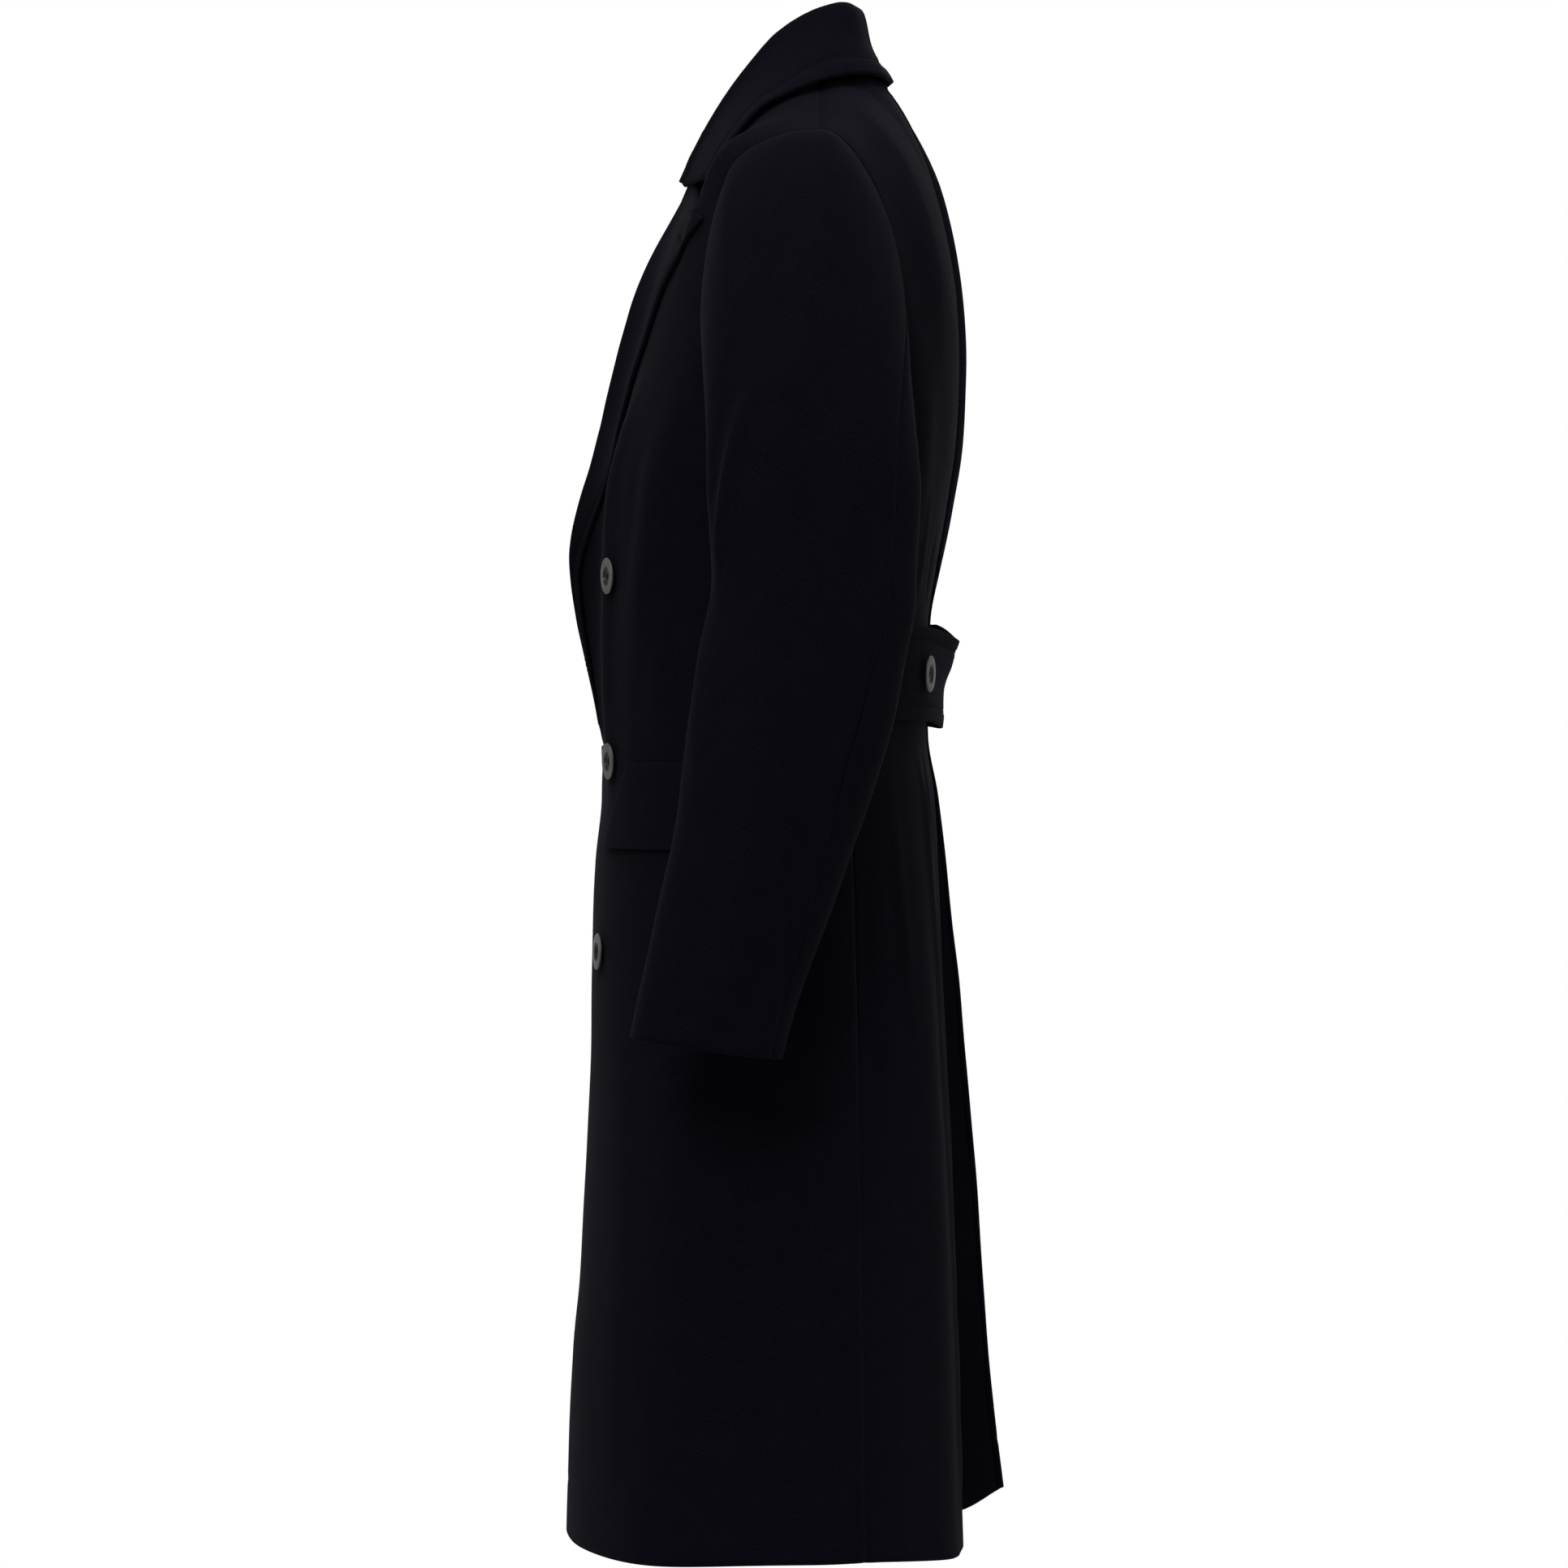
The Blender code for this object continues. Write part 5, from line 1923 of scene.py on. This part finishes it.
@dataclass
class Buttons:
    """The eight horn buttons with their rims, dished faces, four holes and crossed threads."""

    form: BodyForm
    belt: HalfBelt
    dresser: Dresser
    stitches: StitchForm
    radius: float = 13.5
    height: float = 4.2
    edge: float = 1.4
    foot: float = 0.5
    rim: float = 6.2
    step: float = 0.9
    step_depth: float = 1.3
    dish: float = 3.0
    dish_depth: float = 0.5
    round_over: float = 0.6
    hole_radius: float = 1.05
    hole_out: float = 2.3
    hole_sides: int = 16
    belt_seat: float = 0.6
    turn: float = 0.35
    straight: int = 3
    sides: int = 64
    bevel_steps: int = 4
    near: float = 0.1
    flat: float = 0.001
    dish_above: float = 0.5
    smooth_degrees: float = 35.0
    thread_arches: Pair = (0.5, 0.9)
    fastenings: tuple[Fastening, ...] = (
        Fastening("button_left_1", Side.LEFT, Side.LEFT, 124.0, -318.5, 0.8, -9.0),
        Fastening("button_left_2", Side.LEFT, Side.LEFT, 117.0, -456.0, 0.6, -3.0),
        Fastening("button_left_3", Side.LEFT, Side.LEFT, 113.0, -598.0, 0.6),
        Fastening("button_right_1", Side.RIGHT, Side.RIGHT, 75.0, -316.0, -0.2),
        Fastening("button_right_2", Side.RIGHT, Side.LEFT, 75.0, -456.0, 0.9),
        Fastening("button_right_3", Side.RIGHT, Side.LEFT, 75.0, -598.0, 0.4),
    )

    def hole_turns(self) -> list[float]:
        """The angles of the four thread holes round a button."""
        return [math.pi / 4 + corner * math.pi / 2 for corner in range(4)]

    def pick(self, mesh: bpy.types.Mesh, low: float, high: float) -> None:
        """Selects what lies between two heights, and goes into edit mode.

        Args:
            mesh: The mesh.
            low: The lower height.
            high: The upper height.
        """
        corners = {corner.index for corner in mesh.vertices if low < corner.co.z < high}
        for corner in mesh.vertices:
            corner.select = corner.index in corners
        for part in (*mesh.edges, *mesh.polygons):
            part.select = set(part.vertices) <= corners
        bpy.ops.object.mode_set(mode="EDIT")

    def model(self) -> Piece:
        """Models one button that lies on the ground plane and faces up.

        Returns:
            The button.
        """
        bpy.ops.object.select_all(action="DESELECT")
        bpy.ops.mesh.primitive_cylinder_add(
            vertices=self.sides,
            radius=self.radius * MM,
            depth=self.edge * MM,
            end_fill_type="NGON",
            location=(0, 0, (self.height - self.edge / 2) * MM),
        )
        button = bpy.context.active_object
        bpy.ops.object.transform_apply(location=True, rotation=True, scale=True)
        mesh = button.data
        bpy.context.tool_settings.mesh_select_mode = (True, False, False)
        under, near = (self.height - self.edge) * MM, self.near * MM
        self.pick(mesh, under - near, under + near)
        bpy.ops.mesh.extrude_region_move(TRANSFORM_OT_translate={"value": (0, 0, -under)})
        bpy.ops.transform.resize(value=(self.foot, self.foot, 1))
        bpy.ops.object.mode_set(mode="OBJECT")
        for level in (under, self.height * MM):
            self.pick(mesh, level - near, level + near)
            bpy.ops.mesh.bevel(offset=self.round_over * MM, segments=self.bevel_steps, affect="EDGES")
            bpy.ops.object.mode_set(mode="OBJECT")
        top = (self.height - self.flat) * MM
        self.pick(mesh, top, top + near)
        bpy.ops.mesh.inset(thickness=(self.rim - self.round_over) * MM)
        bpy.ops.mesh.inset(thickness=self.step * MM)
        bpy.ops.transform.translate(value=(0, 0, -self.step_depth * MM))
        bpy.ops.mesh.inset(thickness=self.dish * MM)
        bpy.ops.transform.translate(value=(0, 0, -self.dish_depth * MM))
        bpy.ops.object.mode_set(mode="OBJECT")
        self.drill(button)
        pick_only(button)
        bpy.ops.object.shade_smooth_by_angle(angle=math.radians(self.smooth_degrees))
        return button

    def drill(self, button: Piece) -> None:
        """Cuts the four thread holes right through a button.

        Args:
            button: The button.
        """
        for turn in self.hole_turns():
            x, y = self.hole_out * math.cos(turn), self.hole_out * math.sin(turn)
            place = (x * MM, y * MM, self.height * MM / 2)
            bpy.ops.object.select_all(action="DESELECT")
            sizes = {"radius": self.hole_radius * MM, "depth": 3 * self.height * MM}
            bpy.ops.mesh.primitive_cylinder_add(vertices=self.hole_sides, location=place, **sizes)
            drill = bpy.context.active_object
            pick_only(button)
            cut = button.modifiers.new("hole", "BOOLEAN")
            cut.operation = "DIFFERENCE"
            cut.solver = "EXACT"
            cut.object = drill
            bpy.ops.object.modifier_apply(modifier=cut.name)
            bpy.data.objects.remove(drill)

    def places(self) -> list[Seat]:
        """Where the eight buttons sit.

        Returns:
            A seat for each button.
        """
        form = self.form
        found = []
        for button in self.fastenings:
            own_x = button.column.value * button.carrier.value * button.x
            angle = form.angle_at(own_x, button.level)
            normal = form.front_normal(button.carrier, angle, button.level)
            normal = np.array(Matrix.Rotation(math.radians(button.tilt), 3, "Z") @ Vector(normal))
            base = form.front(button.carrier, angle, button.level)
            found.append(Seat(button.node, base + button.stand * normal, normal))
        level = (self.belt.top + self.belt.bottom) / 2
        for side in Side:
            x = np.array(side.value * self.belt.button_x)
            base = self.belt.points(x, np.array(level))
            along = self.belt.points(x + 1, np.array(level)) - self.belt.points(x - 1, np.array(level))
            up = self.belt.points(x, np.array(level + 1)) - self.belt.points(x, np.array(level - 1))
            normal = unit(np.cross(up, along))
            found.append(Seat(f"belt_button_{side.word}", base + self.belt_seat * normal, normal))
        return found

    def build(self) -> None:
        """Copies the button to its eight places and sews the copies on."""
        model = self.model()
        inner = (self.radius - self.rim) * MM
        above = self.dish_above * MM
        # The dish faces take the darker copy of the horn: painted shade for the hollow of each dish
        dished = [face.center.xy.length < inner and face.center.z > above for face in model.data.polygons]
        threads = []
        for number, seat in enumerate(self.places()):
            pose = Vector(seat.normal).to_track_quat("Z", "Y").to_matrix().to_4x4()
            pose = pose @ Matrix.Rotation(self.turn * (number - self.straight), 4, "Z")
            mesh = model.data.copy()
            mesh.transform(Matrix.Translation(Vector(seat.place * MM)) @ pose)
            button = bpy.data.objects.new(f"{seat.node}_horn", mesh)
            bpy.context.scene.collection.objects.link(button)
            self.dresser.trim(button, self.dresser.horn, "horn", seat.node)
            mesh.materials.append(self.dresser.dish)
            mesh.polygons.foreach_set("material_index", np.array(dished, dtype=np.int32))
            face = seat.place + seat.normal * (self.height - self.step_depth - self.dish_depth)
            corners = []
            for turn in self.hole_turns():
                local = Vector((math.cos(turn), math.sin(turn), 0)) * self.hole_out
                corners.append(face + np.array(pose.to_3x3() @ local))
            for first, arch in enumerate(self.thread_arches):
                threads.append(((corners[first], corners[first + 2]), seat.normal, arch))
        bpy.data.objects.remove(model)
        self.dresser.trim(self.stitches.mesh("button_threads", threads), self.dresser.thread, "wool")


@dataclass
class Sewing:
    """The rows of stitches and the buttonholes."""

    lapels: Lapels
    collar: Collar
    belt: HalfBelt
    form: BodyForm
    dresser: Dresser
    stitches: StitchForm
    hole_length: float = 24.0
    hole_step: float = 0.75
    hole_half_width: float = 1.5
    hole_lip: float = 0.15
    hole_arch: float = 0.15
    hole_row: float = 0.945
    hole_in: float = 13.0
    front_holes: Pair = (-456.0, -598.0)
    front_hole_x: float = -77.0
    front_hole_extra: float = 6.0
    front_hole_stand: float = 0.35
    belt_trims: Pair = (6.0, 6.0)
    collar_trims: Pair = (5.0, 5.0)
    lapel_trims: Pair = (28.0, 6.0)

    def rows(self) -> dict[str, list[StitchLine]]:
        """The lines of the topstitching, by the name of the row.

        Returns:
            Each row's lines.
        """
        belt, collar, lapels = self.belt, self.collar, self.lapels
        lines = {
            "half_belt_stitches": [
                belt.made.line(Edge.FIRST_ROW, belt.top_stitching.distance, self.belt_trims),
                belt.made.line(Edge.LAST_ROW, belt.bottom_stitching.distance, self.belt_trims),
            ],
            "collar_stitches": [
                collar.made.line(Edge.LAST_COLUMN, collar.stitching.distance, self.collar_trims),
            ],
        }
        for side in Side:
            sheet = lapels.sheets[side]
            line = sheet.line(Edge.LAST_COLUMN, lapels.stitching.distance, self.lapel_trims)
            lines[f"{side.word}_lapel_stitches"] = [line]
        return lines

    def hole(self, points: Array, normals: Array) -> list[Stitch]:
        """The stitches of one buttonhole: short ones side by side along both lips.

        Args:
            points: Places along the slit.
            normals: The cloth's normals there.

        Returns:
            The stitches.
        """
        along = unit(np.gradient(points, axis=0))
        across = unit(np.cross(normals, along))
        found = []
        for point, normal, aside in zip(points, normals, across):
            for out in (aside, -aside):
                ends = (point + out * self.hole_lip, point + out * self.hole_half_width)
                found.append((ends, normal, self.hole_arch))
        return found

    def lapel_hole(self) -> list[Stitch]:
        """The buttonhole near the left lapel's tip.

        Returns:
            Its stitches.
        """
        sheet = self.lapels.sheets[Side.LEFT]
        row = round(self.hole_row * (len(sheet.grid) - 1))
        line = StitchLine(sheet.grid[row, ::-1], sheet.normals()[row, ::-1])
        return self.hole(*line.at(self.hole_in + np.arange(0, self.hole_length, self.hole_step)))

    def front_hole(self, level: float) -> list[Stitch]:
        """The buttonhole in the left front's lap at one level.

        Args:
            level: The level.

        Returns:
            Its stitches.
        """
        x = self.front_hole_x + np.arange(0, self.hole_length + self.front_hole_extra, self.hole_step)
        angle = self.form.angle_at(x, level)
        levels = np.full(len(x), level)
        normal = self.form.front_normal(Side.LEFT, angle, levels)
        base = self.form.front(Side.LEFT, angle, levels)
        return self.hole(base + normal * self.front_hole_stand, normal)

    def sew(self, name: str, sewn: list[Stitch]) -> None:
        """Makes one piece of thread and dresses it."""
        self.dresser.trim(self.stitches.mesh(name, sewn), self.dresser.thread, "wool")

    def build(self) -> None:
        """Sews every row and buttonhole."""
        for name, lines in self.rows().items():
            self.sew(name, [stitch for line in lines for stitch in self.stitches.row(line)])
        self.sew("lapel_buttonhole", self.lapel_hole())
        for number, level in enumerate(self.front_holes, start=1):
            self.sew(f"front_buttonhole_{number}", self.front_hole(level))


@dataclass(frozen=True)
class SoftBox:
    """A large soft light that looks at the coat's middle."""

    name: str
    place: Triple
    size: Pair
    watts: float


@dataclass
class Studio:
    """The pale ground, the soft light and the camera."""

    aim: Triple = (0.0, -0.026, -0.473)
    camera_place: Triple = (4.0, -0.026, -0.473)
    lens: float = 119.8
    sensor: float = 36.0
    floor_radius: float = 2.4
    floor_level: float = -1.42
    floor_sides: int = 96
    floor_tone: float = 0.86
    floor_core: float = 0.35
    floor_fade: float = 0.9
    ground: float = 1.0
    ambient: float = 0.28
    lights: tuple[SoftBox, ...] = (
        SoftBox("front_soft_box", (0.9, -2.6, 0.1), (1.6, 2.6), 1.0),
        SoftBox("back_soft_box", (0.6, 2.7, 0.1), (1.6, 2.6), 12.0),
        SoftBox("top_soft_box", (0.5, 0.0, 2.2), (2.4, 2.4), 30.0),
        SoftBox("far_fill", (-3.0, 0.0, 0.2), (2.2, 2.4), 24.0),
        SoftBox("key_soft_box", (2.95, -1.3, 1.6), (1.5, 1.5), 58.0),
    )

    def world(self) -> None:
        """A white surround for the camera and a weaker one as light."""
        world = bpy.data.worlds.new("white_ground")
        graph = Graph(world)
        colours = [(tone, tone, tone, 1) for tone in (self.ground, self.ambient)]
        seen, light = (graph.node("ShaderNodeBackground", {}, {"Color": colour}) for colour in colours)
        by_camera = graph.node("ShaderNodeLightPath", {}, {}, "Is Camera Ray")
        mix = graph.node("ShaderNodeMixShader", {}, {0: by_camera, 1: light, 2: seen})
        graph.show("ShaderNodeOutputWorld", mix)
        bpy.context.scene.world = world

    def floor(self) -> None:
        """A pale round floor that fades into the surround."""
        bpy.ops.object.select_all(action="DESELECT")
        bpy.ops.mesh.primitive_circle_add(
            vertices=self.floor_sides,
            radius=self.floor_radius,
            fill_type="NGON",
            location=(0, 0, self.floor_level),
        )
        floor = bpy.context.active_object
        floor.name = "floor"
        bpy.ops.object.transform_apply(location=True, rotation=True, scale=True)
        material = bpy.data.materials.new("pale_floor")
        graph = Graph(material)
        place = graph.node("ShaderNodeTexCoord", {}, {}, "Object")
        flat = graph.node("ShaderNodeVectorMath", {"operation": "MULTIPLY"}, {0: place, 1: (1, 1, 0)})
        far = graph.node("ShaderNodeVectorMath", {"operation": "LENGTH"}, {0: flat}, "Value")
        feeds = {"Value": far, "From Min": self.floor_core, "From Max": self.floor_radius * self.floor_fade}
        fade = graph.node("ShaderNodeMapRange", {"interpolation_type": "SMOOTHSTEP"}, feeds, "Result")
        tone = self.floor_tone
        pale = graph.node("ShaderNodeBsdfDiffuse", {}, {"Color": (tone, tone, tone, 1)})
        clear = graph.node("ShaderNodeBsdfTransparent", {}, {})
        mix = graph.node("ShaderNodeMixShader", {}, {0: fade, 1: pale, 2: clear})
        graph.show("ShaderNodeOutputMaterial", mix)
        floor.data.materials.append(material)

    def aimed(self, place: Triple) -> Matrix:
        """The place and turn of something that looks at the coat's middle."""
        towards = Vector(self.aim) - Vector(place)
        return Matrix.Translation(place) @ towards.to_track_quat("-Z", "Y").to_matrix().to_4x4()

    def shine(self) -> None:
        """Sets the soft lights."""
        for box in self.lights:
            light = bpy.data.lights.new(box.name, "AREA")
            light.shape = "RECTANGLE"
            light.size, light.size_y = box.size
            light.energy = box.watts
            lamp = bpy.data.objects.new(box.name, light)
            lamp.matrix_world = self.aimed(box.place)
            lamp.visible_camera = False
            bpy.context.scene.collection.objects.link(lamp)

    def camera(self) -> None:
        """Sets the camera squarely at the wearer's left."""
        data = bpy.data.cameras.new("camera")
        data.lens = self.lens
        data.sensor_width = self.sensor
        camera = bpy.data.objects.new("camera", data)
        camera.matrix_world = self.aimed(self.camera_place)
        bpy.context.scene.collection.objects.link(camera)
        bpy.context.scene.camera = camera

    def build(self) -> None:
        """Sets up the whole studio."""
        bpy.context.scene.view_settings.view_transform = "Standard"
        self.world()
        self.floor()
        self.shine()
        self.camera()
        LOG.info("studio: %d lights", len(self.lights))


def main() -> None:
    """Builds the coat and the studio."""
    logging.basicConfig(level=logging.INFO, format="%(message)s")
    # The dish's horn is a darker, glossier copy of the grey horn: its darkness is painted shade for the
    # hollow of each button's dish
    dish = HornFinish(name="dish_painted_shade_horn", deep=(0.006, 0.006, 0.0065), pale=(0.022, 0.021, 0.022), rough=0.16)
    dresser = Dresser(WoolFinish().make(), HornFinish().make(), dish.make(), ThreadFinish().make())
    form = BodyForm()
    stitches = StitchForm()
    lapels = Lapels(form, dresser)
    collar = Collar(form, dresser)
    belt = HalfBelt(form, dresser)
    BodyPanels(form, dresser).build()
    Sleeves(form, SleeveForm(), dresser).build()
    lapels.build()
    collar.build()
    PocketFlaps(form, dresser).build()
    belt.build()
    Buttons(form, belt, dresser, stitches).build()
    Sewing(lapels, collar, belt, form, dresser, stitches).build()
    Studio().build()


if __name__ == "__main__":
    main()
